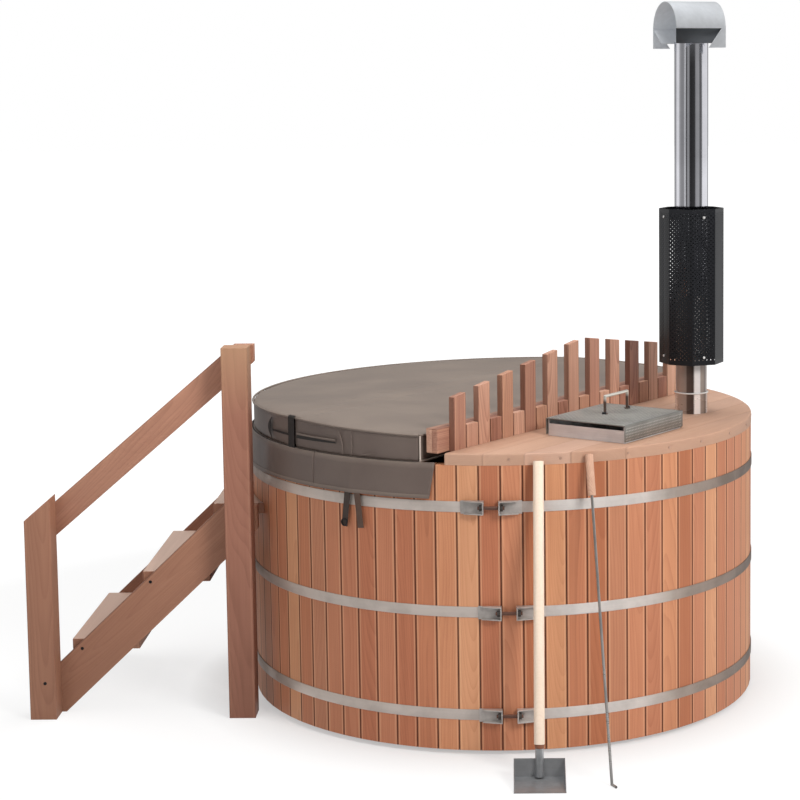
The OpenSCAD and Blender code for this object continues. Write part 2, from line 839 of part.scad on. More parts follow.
module stove_neck() {
    side_top = lid_z;
    color(steel) by_fence() translate([stove_out, neck_along, 0]) difference() {
        union() {
            translate([0, 0, stove_top]) linear_extrude(side_top - stove_top) neck_hole(0);
            translate([0, 0, stove_top]) linear_extrude(neck_wall) neck_hole(-neck_flange);
        }
        translate([0, 0, stove_top - over]) linear_extrude(stove_h) neck_hole(neck_wall);
        translate([-neck_w / 2 + neck_wall, -neck_l, neck_top])
            cube([neck_w - 2 * neck_wall, 2 * neck_l, air_gap + over]);
    }
}

module hatch_lid() {
    w = neck_w + 2 * lid_over_w;
    l = neck_l + 2 * lid_over_l;
    skirt_z = deck_top + lid_skirt_gap;
    color(steel) by_fence() translate([stove_out, neck_along, 0]) {
        translate([-w / 2 - lid_t, -l / 2, lid_z]) cube([w + 2 * lid_t, l, lid_t]);
        for (s = [0, 1]) mirror([s, 0, 0])
            translate([w / 2, -l / 2, skirt_z]) cube([lid_t, l, lid_z + lid_t - skirt_z]);
    }
}

module hatch_handle() {
    z0 = lid_z + lid_t;
    r = handle_d / 2;
    color(steel) by_fence() translate([stove_out + handle_side, neck_along + handle_along, z0]) {
        for (s = [-1, 1]) translate([0, s * (handle_l / 2 - r), 0]) {
            cylinder(r = r, h = handle_h, $fn = 32);
            translate([0, 0, handle_h]) sphere(r, $fn = 32);
            cylinder(r = handle_d, h = lid_t, $fn = 32);
        }
        translate([0, r - handle_l / 2, handle_h]) rotate([-90, 0, 0])
            cylinder(r = r, h = handle_l - handle_d, $fn = 32);
    }
}

// Chimney

module at_flue() {
    by_fence() translate([flue_out, flue_along, 0]) children();
}

pipe_bore = pipe_r - pipe_wall;
lower_pipe_z = collar_top - pipe_in_collar;

module flue_collar() {
    ledge_z = lower_pipe_z;
    color(steel) at_flue() rotate_extrude() polygon([
        [pipe_bore, stove_top], [collar_flange_r, stove_top],
        [collar_flange_r, stove_top + collar_flange_t], [collar_r, stove_top + collar_flange_t],
        [collar_r, collar_top - bead_h], [bead_r, collar_top - bead_h], [bead_r, collar_top],
        [pipe_r + pipe_fit, collar_top], [pipe_r + pipe_fit, ledge_z], [pipe_bore, ledge_z]]);
}

module flue_lower_pipe() {
    color(steel) at_flue() rotate_extrude() translate([pipe_bore, lower_pipe_z])
        square([pipe_wall, lower_pipe_top - lower_pipe_z]);
}

module flue_upper_pipe() {
    z0 = lower_pipe_top - pipe_lap;
    z1 = lower_pipe_top;
    color(steel) at_flue() rotate_extrude() polygon([
        [pipe_r + pipe_fit, z0], [upper_pipe_r, z0], [upper_pipe_r, pipe_top],
        [upper_pipe_r - pipe_wall, pipe_top], [upper_pipe_r - pipe_wall, z1 + 2 * pipe_shoulder],
        [pipe_bore, z1 + pipe_shoulder], [pipe_bore, z1], [pipe_r + pipe_fit, z1]]);
}

module guard_ring(z0, h) {
    rotate([0, 0, guard_turn]) translate([0, 0, z0]) linear_extrude(h) difference() {
        circle(guard_w / 2, $fn = guard_sides);
        circle(guard_w / 2 - guard_t / cos(full_turn / guard_sides / 2), $fn = guard_sides);
    }
}

module guard_screw_places() {
    half_side = full_turn / guard_sides / 2;
    for (k = [0 : 2 : guard_sides - 1], z = [guard_z + spacer_inset, guard_z + guard_h - spacer_inset])
        rotate([0, 0, guard_turn + half_side + k * full_turn / guard_sides - fence_angle])
            translate([0, 0, z]) children();
}

module heat_guard() {
    color(black) at_flue() difference() {
        rotate([0, 0, -fence_angle]) guard_ring(guard_z, guard_h);
        guard_screw_places() translate([guard_flat - 2 * guard_t, 0, 0]) rotate([0, 90, 0])
            cylinder(r = screw_r + bolt_clear, h = 4 * guard_t, $fn = 24);
    }
}

// Each spacer is a strip from the pipe to the middle of a guard face
module guard_spacers() {
    color(steel) at_flue() difference() {
        guard_screw_places() translate([pipe_r, -spacer_w / 2, -spacer_w / 2])
            cube([guard_flat - guard_t - pipe_r, spacer_w, spacer_w]);
        cylinder(r = pipe_r + hoop_seat, h = guard_z + guard_h - 2 * spacer_inset);
        translate([0, 0, lower_pipe_top - pipe_lap]) cylinder(r = upper_pipe_r + hoop_seat, h = guard_h);
        guard_screw_places() translate([guard_flat - guard_t - spacer_w, 0, 0]) rotate([0, 90, 0])
            cylinder(r = screw_r + bolt_clear, h = spacer_w + over, $fn = 24);
    }
}

module guard_screws() {
    color(steel) at_flue() guard_screw_places() rotate([0, 90, 0]) {
        translate([0, 0, guard_flat - guard_t - spacer_w + over])
            cylinder(r = screw_r, h = spacer_w + guard_t - over, $fn = 24);
        translate([0, 0, guard_flat]) cylinder(r = screw_head_r, h = 2 * screw_head_t, $fn = 24);
    }
}

// In the hood's frame x runs along the hood and y points to its back
module at_hood() {
    at_flue() rotate([0, 0, hood_angle - fence_angle]) translate([-hood_off, 0, hood_z]) children();
}

// Half-round arch on two straight legs
module arch(r, leg) {
    intersection() {
        circle(r);
        translate([-r, 0]) square([2 * r, r]);
    }
    translate([-r, -leg]) square([2 * r, leg]);
}

// Each leg is cut away but for a pointed tab, at the front's right end and the back's left end
module cap_hood() {
    color(steel) at_hood() difference() {
        translate([-hood_l / 2, 0, 0]) rotate([90, 0, 90]) linear_extrude(hood_l) difference() {
            arch(hood_r, tab_h);
            arch(hood_r - hood_t, tab_h + over);
        }
        for (turn = [0, full_turn / 2]) rotate([0, 0, turn])
            translate([0, -hood_r / 2, 0]) rotate([90, 0, 0]) linear_extrude(hood_r)
                polygon([[-hood_l, 0], [hood_l / 2 - tab_top_w, 0],
                    [hood_l / 2 + tab_top_w - 2 * tab_foot_w, -2 * tab_h], [-hood_l, -2 * tab_h]]);
    }
}

// Sloping flaps lead from the hood's lips in to the pipe
module cap_flaps() {
    lip = hood_r - hood_t - hoop_seat;
    foot = upper_pipe_r + hoop_seat + hood_t;
    drop = hood_gap + flap_lap;
    lean = atan2(drop, lip - foot);
    l = norm([drop, lip - foot]);
    inset = flap_inset_share * hood_l;
    color(steel) at_hood() for (s = [0, 1]) mirror([0, s, 0])
        translate([0, -lip, 0]) rotate([-lean, 0, 0]) linear_extrude(hood_t)
            polygon([[-hood_l / 2, 0], [hood_l / 2, 0], [hood_l / 2 - inset, l], [inset - hood_l / 2, l]]);
}

// Folding cover

module cover_block(x0, x1, top0, top1) {
    rotate([90, 0, 0]) translate([0, 0, -shell_r]) linear_extrude(tub_od)
        polygon([[x0, cover_z], [x1, cover_z], [x1, top1], [x0, top0]]);
}

module cover_outer_half() {
    color(vinyl) by_fence() intersection() {
        cylinder(r = cover_r, h = tub_od);
        cover_block(-shell_r, -cover_fold - cover_joint / 2, cover_rim_z, cover_fold_z);
    }
}

module cover_inner_half() {
    color(vinyl) by_fence() intersection() {
        cylinder(r = cover_r, h = tub_od);
        cover_block(cover_joint / 2 - cover_fold, cover_edge, cover_fold_z, cover_rim_z);
    }
}

// Section of the skirt: it leaves the cover's side, clears the staves and hangs
module skirt_section() {
    z1 = stave_top + skirt_top_gap;
    z2 = stave_top;
    z3 = stave_top - skirt_drop;
    polygon([[cover_r + seat, z1], [cover_r + seat + skirt_t, z1], [skirt_out + skirt_t, z2],
        [skirt_low_out + skirt_t, z3], [skirt_low_out, z3], [skirt_out, z2 - skirt_t]]);
}

module skirt_arc(a0, a1) {
    rotate([0, 0, a0]) rotate_extrude(angle = a1 - a0) skirt_section();
}

module cover_outer_skirt() {
    a = skirt_split_angle + skirt_joint_angle / 2;
    color(vinyl) by_fence() skirt_arc(a, full_turn - a);
}

module cover_inner_skirt() {
    a0 = skirt_end_angle;
    a1 = skirt_split_angle - skirt_joint_angle / 2;
    color(vinyl) by_fence() {
        skirt_arc(a0, a1);
        skirt_arc(-a1, -a0);
    }
}

module cover_fold_webbing() {
    half = asin(webbing_w / 2 / cover_r);
    z0 = stave_top + skirt_top_gap + 1;
    color(webbing_colour) by_fence() for (s = [-1, 1])
        ring_sector(cover_r + seat, cover_r + seat + webbing_t, z0, cover_fold_z - seat - z0,
            s * fold_angle - half, s * fold_angle + half);
}

module cover_handles() {
    a0 = acos(cover_handle_ends[1] / cover_r);
    a1 = acos(cover_handle_ends[0] / cover_r);
    color(webbing_colour) by_fence() for (s = [0, 1]) mirror([0, s, 0])
        ring_sector(cover_r + seat, cover_r + seat + webbing_t, cover_handle_z, cover_handle_h, a0, a1);
}

// Hanging straps that tie the cover down, with their rings

module strap_places() {
    by_fence() for (s = [0, 1]) mirror([0, s, 0]) for (i = [0, 1])
        rotate([0, 0, strap_angles[i]])
            translate([skirt_low_out + skirt_t + seat, 0, strap_hang_z])
                rotate([strap_leans[i], 0, 0]) children(i);
}

module one_strap() {
    translate([0, -strap_w / 2, -strap_l]) cube([strap_t, strap_w, strap_l]);
}

module tie_straps() {
    color(vinyl) strap_places() { one_strap(); one_strap(); }
}

module strap_rings() {
    color(steel) strap_places() {
        translate([strap_t + seat, 0, ring_r - strap_l]) rotate([0, 90, 0]) difference() {
            cylinder(r = ring_r, h = ring_wire, $fn = 32);
            translate([0, 0, -over]) cylinder(r = ring_r - ring_wire, h = ring_wire + 2 * over, $fn = 32);
        }
        union() {}
    }
}

// Steps

// Profile in x and z, drawn out along y
module plank(y0, t) {
    translate([0, y0 + t, 0]) rotate([90, 0, 0]) linear_extrude(t) children();
}

function stringer_z(x) = slope * (x - foot_x);
function tread_z(i) = first_rise + i * rise;

module stringer(y0, end_x) {
    level_x = foot_x + (top_tread_z - stringer_drop) / slope;
    color(dark_cedar) difference() {
        plank(y0, tread_t) polygon([
            [stringer_back, 0], [foot_x, 0], [end_x, stringer_z(end_x)], [end_x, top_tread_z],
            [level_x, top_tread_z], [stringer_back, stringer_z(stringer_back) + stringer_drop]]);
        bolt_places() cylinder(r = bolt_r + bolt_clear, h = post_w + 2 * tread_t, $fn = 32);
    }
}

far_end_x = -sqrt(pow(shell_r + seat, 2) - pow(far_stringer_y, 2));

module stair_near_stringer() { stringer(stringer_y, near_end_x); }

module stair_far_stringer() { stringer(far_stringer_y, far_end_x); }

module stair_treads() {
    y0 = stringer_y + tread_t;
    color(dark_cedar) difference() {
        for (i = [0 : treads - 1])
            translate([tread_x + i * run, y0, tread_z(i) - tread_t]) cube([tread_d, tread_l, tread_t]);
        cylinder(r = shell_r + seat, h = stave_top);
    }
}

module tread_cleats() {
    color(dark_cedar) for (i = [0 : treads - 1], y = [stringer_y + tread_t, far_stringer_y - cleat_t])
        translate([tread_x + i * run + (i < treads - 1 ? cleat_inset : seat), y,
                tread_z(i) - tread_t - cleat_h])
            cube([i < treads - 1 ? cleat_l : cleat_l / 2, cleat_t, cleat_h]);
}

module stair_tall_post() {
    color(dark_cedar) difference() {
        translate([tall_post_x, post_front, 0]) cube([post_w, post_w, tall_post_h]);
        bolt_places() cylinder(r = bolt_r + bolt_clear, h = post_w + 2 * tread_t, $fn = 32);
    }
}

module stair_short_post() {
    color(dark_cedar) difference() {
        plank(post_front, post_w) polygon([
            [short_post_x, 0], [short_post_x + post_w, 0],
            [short_post_x + post_w, short_post_h + post_w * rail_slope], [short_post_x, short_post_h]]);
        bolt_places() cylinder(r = bolt_r + bolt_clear, h = post_w + 2 * tread_t, $fn = 32);
    }
}

function handrail_z(x) = handrail_top_at_post + rail_slope * (x - short_post_x - post_w);

module stair_handrail() {
    top_z = tall_post_h;
    level_x = short_post_x + post_w + (top_z - handrail_top_at_post) / rail_slope;
    color(dark_cedar) difference() {
        plank(stringer_y, tread_t) polygon([
            [handrail_x, handrail_z(handrail_x)], [handrail_x, handrail_z(handrail_x) - handrail_drop],
            [near_end_x, handrail_z(near_end_x) - handrail_drop], [near_end_x, top_z], [level_x, top_z]]);
        bolt_places() cylinder(r = bolt_r + bolt_clear, h = post_w + 2 * tread_t, $fn = 32);
    }
}

// Lag bolts hold the stringer and the handrail to the two posts. They are driven from behind
tall_mid = tall_post_x + post_w / 2;
short_mid = short_post_x + post_w * 2 / 3;
bolt_spots = [
    [short_mid, post_w * 2 / 3], [short_mid, handrail_z(short_mid) - handrail_drop / 2],
    [tall_mid - post_w / 5, stringer_z(tall_mid) + nut_af],
    [tall_mid + post_w / 5, stringer_z(tall_mid) + 4 * nut_af],
    [tall_mid, handrail_z(tall_mid) - handrail_drop * 3 / 4]];

module bolt_places() {
    for (p = bolt_spots) translate([p[0], post_front + bolt_blind, p[1]]) rotate([-90, 0, 0]) children();
}

module stair_bolts() {
    grip = post_w - bolt_blind + tread_t;
    color(steel) bolt_places() {
        translate([0, 0, seat]) cylinder(r = bolt_r, h = grip - seat, $fn = 32);
        translate([0, 0, grip]) cylinder(r = bolt_head_r, h = bolt_head_t, $fn = 6);
    }
}

// Drain through the wall: fitting, locknut and plug valve. z is outward from the tub's axis here

module drain_fitting() {
    color(brass) drain_axis() difference() {
        union() {
            translate([0, 0, bore_face - drain_flange_t]) cylinder(r = drain_flange_r, h = drain_flange_t);
            translate([0, 0, bore_face - over])
                cylinder(r = drain_tube_r, h = stave_t + drain_tube_l + over);
        }
        translate([0, 0, bore_face - 2 * drain_flange_t])
            cylinder(r = drain_bore, h = stave_t + drain_tube_l + 3 * drain_flange_t);
    }
}

module drain_locknut() {
    color(brass) drain_axis() translate([0, 0, shell_face]) difference() {
        cylinder(r = drain_flange_r, h = locknut_t, $fn = 6);
        translate([0, 0, -over]) cylinder(r = drain_tube_r + fit, h = locknut_t + 2 * over);
    }
}

module drain_valve_body() {
    z0 = shell_face + locknut_t;
    color(brass) drain_axis() difference() {
        union() {
            translate([0, 0, z0]) cylinder(r = valve_r, h = valve_l + plug_r / 2);
            translate([0, 0, z0 + valve_l]) cylinder(r = spigot_r, h = spigot_l + plug_r);
            translate([0, 0, plug_out]) rotate([0, -90, 0])
                cylinder(r = 2 * stem_r, h = stem_rise - lever_t);
        }
        translate([0, 0, z0 - over]) cylinder(r = drain_tube_r + fit, h = drain_tube_l - locknut_t + over);
        translate([0, 0, z0]) cylinder(r = drain_bore - 2, h = valve_l + spigot_l + 2 * plug_r);
        translate([plug_h / 2 + fit, 0, plug_out]) rotate([0, -90, 0])
            cylinder(r = plug_r + fit, h = plug_h + 2 * fit);
        translate([0, 0, plug_out]) rotate([0, -90, 0]) cylinder(r = stem_r + fit, h = stem_rise + over);
    }
}

module drain_plug() {
    color(steel) drain_axis() translate([0, 0, plug_out]) difference() {
        rotate([0, -90, 0]) {
            translate([0, 0, -plug_h / 2]) cylinder(r = plug_r, h = plug_h);
            cylinder(r = stem_r, h = stem_rise + lever_t);
        }
        rotate([90, 0, 0]) translate([0, 0, -plug_r - over])
            cylinder(r = drain_bore - 2, h = 2 * plug_r + 2 * over);
    }
}

module drain_lever() {
    color(black) drain_axis() translate([-stem_rise, 0, plug_out]) difference() {
        translate([-lever_t, -lever_w / 2, -lever_w / 2]) cube([lever_t, lever_l, lever_w]);
        rotate([0, -90, 0]) translate([0, 0, -over]) cylinder(r = stem_r + fit, h = lever_t + 2 * over);
    }
}

// Fire tools that lean on the deck's edge

shaft_top_z = shovel_h;
shaft_dir = [shaft_head[0] - shaft_foot[0], shaft_head[1] - shaft_foot[1], shaft_top_z - socket_z];
function shaft_at(l) = [shaft_foot[0], shaft_foot[1], socket_z] + l * shaft_dir / norm(shaft_dir);

module shovel_handle() {
    color([0.93, 0.80, 0.66])
        bar(shaft_at(socket_l + ferrule_h), shaft_at(norm(shaft_dir) - shaft_d / 2), shaft_d / 2);
}

module shovel_ferrule() {
    color(dark_cedar) bar(shaft_at(socket_l), shaft_at(socket_l + ferrule_h), socket_r + 1);
}

module shovel_pan() {
    x0 = shaft_foot[0] - pan_w / 2;
    back = shaft_foot[1] + socket_r + pan_t;
    color(steel) {
        translate([x0, back - pan_l, 0]) cube([pan_w, pan_l, pan_t]);
        translate([x0, back - pan_t, 0]) cube([pan_w, pan_t, pan_h]);
        for (x = [x0, x0 + pan_w - pan_t])
            translate([x, 0, 0]) rotate([90, 0, 90]) linear_extrude(pan_t)
                polygon([[back - pan_l, 0], [back, 0], [back, pan_h],
                    [back - pan_l / 2, pan_h / 2 + socket_z], [back - pan_l, 2 * pan_t]]);
        bar(shaft_at(0), shaft_at(socket_l), socket_r);
    }
}

poker_dir = [poker_head[0] - poker_foot[0], poker_head[1] - poker_foot[1], poker_h];
poker_z = poker_d / 2 + seat;
function poker_at(l) = [poker_foot[0], poker_foot[1], poker_z] + l * poker_dir / norm(poker_dir);

module poker_grip() {
    a = poker_at(norm(poker_dir) - grip_l);
    b = poker_at(norm(poker_dir));
    color(cedar) difference() {
        bar(a, b, grip_d / 2);
        bar(a - (b - a), poker_at(norm(poker_dir) - grip_l / 2), poker_d / 2 + fit);
    }
}

module poker_rod() {
    color(steel) {
        bar(poker_at(0), poker_at(norm(poker_dir) - grip_l / 2 - seat), poker_d / 2);
        translate(poker_at(0)) sphere(poker_z, $fn = 32);
        bar(poker_at(0), poker_at(0) + [poker_hook / 2, -poker_hook, 0], poker_d / 2 - seat);
    }
}

chine_joists();
floor_boards();
staves();
hoop_bottom();
hoop_middle();
hoop_top();
hoop_lugs();
tension_rods();
hoop_nuts();
bench_seats();
bench_bearers();
bench_legs();
fence_tall_slats();
fence_short_slats();
fence_rails();
deck_boards();
deck_bearers();
deck_screws();
stove_box();
stove_grate();
stove_feet();
stove_lag_screws();
stove_neck();
hatch_lid();
hatch_handle();
flue_collar();
flue_lower_pipe();
flue_upper_pipe();
heat_guard();
guard_spacers();
guard_screws();
cap_hood();
cap_flaps();
cover_outer_half();
cover_inner_half();
cover_outer_skirt();
cover_inner_skirt();
cover_fold_webbing();
cover_handles();
tie_straps();
strap_rings();
stair_near_stringer();
stair_far_stringer();
stair_treads();
tread_cleats();
stair_tall_post();
stair_short_post();
stair_handrail();
stair_bolts();
drain_fitting();
drain_locknut();
drain_valve_body();
drain_plug();
drain_lever();
shovel_handle();
shovel_ferrule();
shovel_pan();
poker_grip();
poker_rod();
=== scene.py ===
# %% [markdown]
# # A round cedar hot tub
# The tub is built like a barrel. Staves stand in a ring, steel hoops pull them together, and the
# floor sits in a groove. A stove stands in the water behind a picket fence, under a deck with a
# firing hatch. A padded cover folds over the bathers' side, and steps with a handrail lead up to it.
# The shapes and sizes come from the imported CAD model. This script dresses them: eased edges, wood
# grain, brushed steel, stitched vinyl and the small parts that a solid leaves out.

# %% Load the frame
import random
from math import acos, cos, degrees, exp, pi, radians, sin, sqrt

import bmesh
import bpy
from mathutils import Matrix, Vector, noise


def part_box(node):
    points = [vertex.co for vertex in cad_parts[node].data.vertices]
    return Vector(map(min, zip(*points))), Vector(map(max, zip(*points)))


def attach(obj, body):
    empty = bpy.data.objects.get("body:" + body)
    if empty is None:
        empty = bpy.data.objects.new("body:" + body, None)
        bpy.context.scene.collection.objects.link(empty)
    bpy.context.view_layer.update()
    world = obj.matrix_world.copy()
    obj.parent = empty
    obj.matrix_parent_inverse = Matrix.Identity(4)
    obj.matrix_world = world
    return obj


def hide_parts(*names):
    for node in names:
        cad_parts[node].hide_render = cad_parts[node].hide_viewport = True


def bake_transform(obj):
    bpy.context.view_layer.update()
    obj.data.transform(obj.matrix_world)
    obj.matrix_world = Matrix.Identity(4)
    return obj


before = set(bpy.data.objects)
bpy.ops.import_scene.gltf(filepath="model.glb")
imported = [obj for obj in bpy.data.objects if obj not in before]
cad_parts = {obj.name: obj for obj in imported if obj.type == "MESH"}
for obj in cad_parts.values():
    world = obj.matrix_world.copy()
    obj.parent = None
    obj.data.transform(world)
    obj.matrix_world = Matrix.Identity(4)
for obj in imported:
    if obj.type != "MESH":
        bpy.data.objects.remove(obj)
scene = bpy.context.scene
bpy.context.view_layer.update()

# %% [markdown]
# ## Directions
# The fence crosses the tub at a slant, so most pieces are easier to place in its own directions:
# ACROSS leads from the bathers to the stove, and ALONG runs along the fence towards the chimney.

# %% The fence's directions
FENCE_TURN = 35
UP = Vector((0, 0, 1))
ACROSS = Vector((cos(radians(-FENCE_TURN)), sin(radians(-FENCE_TURN)), 0))
ALONG = UP.cross(ACROSS)


def spot(across, along, height):
    """A place in the fence's directions, from millimetres to metres."""
    return (ACROSS * across + ALONG * along + UP * height) / 1000


def about(angle, radius, height):
    """A place round the tub's axis, at an angle from ACROSS, from millimetres to metres."""
    a = radians(angle)
    return spot(radius * cos(a), radius * sin(a), height)


# %% [markdown]
# ## Camera and studio
# The camera stands where the photographer stood: 7.2 m away and 2.2 m up, with a long lens. The floor and the
# world show white to the camera, but they light the wood gently, so its colours stay as they are written.
# Steel sees a room of its own in them: dark walls with bright upright panels, which draw the bands on the
# chimney's upper pipe. The bands on the hoops, the collar and the lower pipe are painted reflections.

# %% The camera
def placed(name, data):
    """A new object in the scene."""
    made = bpy.data.objects.new(name, data)
    scene.collection.objects.link(made)
    return made


photo_width, focal_length, film_width = 800, 2015.8, 36
yaw, pitch, roll = (radians(v) for v in (-0.378, 6.157, 0.593))
ahead = Vector((sin(yaw) * cos(pitch), cos(yaw) * cos(pitch), -sin(pitch)))
side = Vector((cos(yaw), -sin(yaw), 0))
below = ahead.cross(side)
right = side * cos(roll) + below * sin(roll)
down = below * cos(roll) - side * sin(roll)
camera = placed("camera", bpy.data.cameras.new("camera"))
camera.matrix_world = Matrix.Translation((0.0471, -7.2324, 2.1664)) @ Matrix(
    (right, -down, -ahead)).transposed().to_4x4()
camera.data.sensor_width = film_width
camera.data.lens = film_width * focal_length / photo_width
camera.data.shift_x = camera.data.shift_y = -0.125
camera.data.clip_end = 100
scene.camera = camera
scene.view_settings.view_transform = "Standard"
print("camera lens", round(camera.data.lens, 1), "mm")

# %% [markdown]
# ## Helpers
# Every material here is a small tree of nodes. These helpers add one node, mix two colours, do a sum
# and draw a colour ramp, so that each finish further on reads like a recipe. The last one makes every
# new piece: it gives the mesh its finish and hands it to the body that it moves with.


# %% Helpers for shader nodes and new pieces
def paint(code):
    """A colour from its six hex digits, turned linear as Blender wants it."""
    parts = [int(code[i:i + 2], 16) / 255 for i in (0, 2, 4)]
    return tuple(p / 12.92 if p <= 0.04045 else ((p + 0.055) / 1.055) ** 2.4 for p in parts) + (1,)


def tones(*stops):
    """The stops of a colour ramp, from a place and a colour's code in turn."""
    return [(place, paint(code)) for place, code in zip(stops[::2], stops[1::2])]


def feed(tree, sockets, **values):
    """Links or sets sockets. i2 is the third socket, and others go by their names."""
    for key, value in values.items():
        numbered = key[0] == "i" and key[1:].isdigit()
        socket = sockets[int(key[1:]) if numbered else key.replace("_", " ")]
        if isinstance(value, bpy.types.NodeSocket):
            tree.links.new(value, socket)
        else:
            socket.default_value = value


def node(tree, kind, settings=None, **inputs):
    """Adds a shader node, with its settings and what feeds its inputs."""
    made = tree.nodes.new("ShaderNode" + kind)
    for key, value in (settings or {}).items():
        setattr(made, key, value)
    feed(tree, made.inputs, **inputs)
    return made


def calc(tree, what, a, b=0.0, c=0.0):
    return node(tree, "Math", {"operation": what}, i0=a, i1=b, i2=c).outputs[0]


def times(tree, a, b):
    return calc(tree, "MULTIPLY", a, b)


def plus(tree, first, *others):
    total = first
    for value in others:
        total = calc(tree, "ADD", total, value)
    return total


def linear(tree, value, slope, start):
    """A straight line: start, and slope more for each unit of the value."""
    return calc(tree, "MULTIPLY_ADD", value, slope, start)


def distance(tree, x, y):
    return calc(tree, "SQRT", plus(tree, times(tree, x, x), times(tree, y, y)))


def mix(tree, share, a, b, how="MIX"):
    return node(tree, "Mix", {"data_type": "RGBA", "blend_type": how}, i0=share, i6=a, i7=b).outputs[2]


def ramp(tree, value, stops, how="LINEAR"):
    made = node(tree, "ValToRGB", Fac=value)
    band = made.color_ramp
    band.interpolation = how
    while len(band.elements) < len(stops):
        band.elements.new(1)
    for element, (place, colour) in zip(band.elements, stops):
        element.position = place
        element.color = colour if isinstance(colour, tuple) else (colour, colour, colour, 1)
    return made.outputs[0]


def remap(tree, value, low, high, to_low=0.0, to_high=1.0):
    return node(tree, "MapRange", {"clamp": True}, Value=value, From_Min=low, From_Max=high,
                To_Min=to_low, To_Max=to_high).outputs[0]


def scaled(tree, vector, size, shift=(0, 0, 0)):
    return node(tree, "Mapping", Vector=vector, Scale=size, Location=shift).outputs[0]


def shaded(tree, tone, value):
    """A colour times a grey value."""
    grey = node(tree, "CombineColor", Red=value, Green=value, Blue=value).outputs[0]
    return mix(tree, 1.0, tone, grey, "MULTIPLY")


def here(tree, axis=None):
    """The point's place in its object, which is its place in the frame at rest, or one axis of it."""
    place = node(tree, "TexCoord").outputs["Object"]
    return place if axis is None else node(tree, "SeparateXYZ", Vector=place).outputs[axis]


def told(tree, name):
    """What the mesh's own layer of this name says at the point."""
    return node(tree, "Attribute", {"attribute_name": name}).outputs


def clouds(tree, place, stretch=None, scale=1.0, detail=2.0, roughness=0.5):
    """A noise pattern over a place, which three factors may stretch."""
    if stretch:
        place = scaled(tree, place, stretch)
    return node(tree, "TexNoise", Vector=place, Scale=scale, Detail=detail, Roughness=roughness).outputs


def effect(name, inputs, outputs):
    """Starts a node group, an effect that several materials share. Gives its ends' sockets too."""
    group = bpy.data.node_groups.new(name, "ShaderNodeTree")
    print("effect:", name)
    for way, sockets in (("INPUT", inputs), ("OUTPUT", outputs)):
        for label, kind in sockets.items():
            group.interface.new_socket(label, in_out=way, socket_type="NodeSocket" + kind)
    return group, group.nodes.new("NodeGroupInput").outputs, group.nodes.new("NodeGroupOutput").inputs


def use(tree, group, **inputs):
    """Adds a shared effect and gives its outputs."""
    made = tree.nodes.new("ShaderNodeGroup")
    made.node_tree = group
    feed(tree, made.inputs, **inputs)
    return made.outputs


def finish(name, **principled):
    """A new material with its Principled shader: gives the material, its tree and the shader."""
    material = bpy.data.materials.new(name)
    material.use_nodes = True
    print("finish:", name)
    shader = material.node_tree.nodes["Principled BSDF"]
    feed(material.node_tree, shader.inputs, **principled)
    return material, material.node_tree, shader


def raise_by(tree, shader, height, depth, strength=1.0):
    """Bumps the surface by a height pattern, depth metres deep."""
    bump = node(tree, "Bump", Height=height, Distance=depth, Strength=strength)
    feed(tree, shader.inputs, Normal=bump.outputs[0])


def piece(name, bm, material, body, nodes=(), smooth=None):
    """Makes the object, hands it to its CAD body and hides the nodes that it stands for."""
    mesh = bpy.data.meshes.new(name)
    bm.to_mesh(mesh)
    bm.free()
    made = placed(name, mesh)
    for m in material if isinstance(material, (list, tuple)) else [material]:
        mesh.materials.append(m)
    if smooth:
        mesh.polygons.foreach_set("use_smooth", [True] * len(mesh.polygons))
        mesh.set_sharp_from_angle(angle=radians(smooth))
    if body:
        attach(made, body)
    if nodes:
        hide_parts(*([nodes] if isinstance(nodes, str) else nodes))
    print("piece:", name, "with", len(mesh.polygons), "faces")
    return made


# %% The room that steel reflects
room, given, result = effect("mirrored room", {"Direction": "Vector"}, {"Color": "Color"})
parts = node(room, "SeparateXYZ", Vector=given["Direction"]).outputs
turned = calc(room, "ARCTAN2", parts[0], times(room, parts[1], -1.0))
walls = ramp(room, linear(room, turned, 0.5 / pi, 0.5), [
    (0.0, 0.35), (0.14, 0.42), (0.155, 0.98), (0.225, 0.98), (0.245, 0.46), (0.30, 0.30), (0.352, 0.36),
    (0.362, 0.90), (0.372, 0.85), (0.381, 0.10), (0.405, 0.12), (0.416, 0.40), (0.44, 0.36), (0.462, 0.03),
    (0.555, 0.05), (0.572, 0.36), (0.64, 0.42), (0.652, 0.14), (0.695, 0.18), (0.715, 1.0), (0.865, 1.0),
    (0.885, 0.42), (1.0, 0.35)])
overhead = remap(room, parts[2], 0.35, 0.75)
feed(room, result, Color=mix(room, overhead, walls, (0.72, 0.73, 0.74, 1)))


def shown(tree, ray):
    """What a ray meets: whether the camera sees it straight or through glass, whether it is mirrored,
    and its colour, which is white or else the mirrored room's."""
    path = node(tree, "LightPath").outputs
    seen = calc(tree, "MAXIMUM", path["Is Camera Ray"], path["Is Transmission Ray"])
    mirrored = path["Is Glossy Ray"]
    return seen, mirrored, mix(tree, mirrored, (1, 1, 1, 1), use(tree, room, Direction=ray)["Color"])


# %% The floor, the world and the lamps
floor_material, tree, shader = finish("studio floor", Base_Color=(0.8, 0.8, 0.8, 1), Roughness=0.9,
                                      Specular_IOR_Level=0)
where = node(tree, "NewGeometry").outputs
away = node(tree, "VectorMath", {"operation": "LENGTH"}, i0=where["Position"]).outputs["Value"]
ray = node(tree, "VectorMath", {"operation": "SCALE"}, i0=where["Incoming"], Scale=-1.0).outputs[0]
seen, mirrored, colour = shown(tree, ray)
glow = node(tree, "Emission", Color=colour, Strength=1.13)
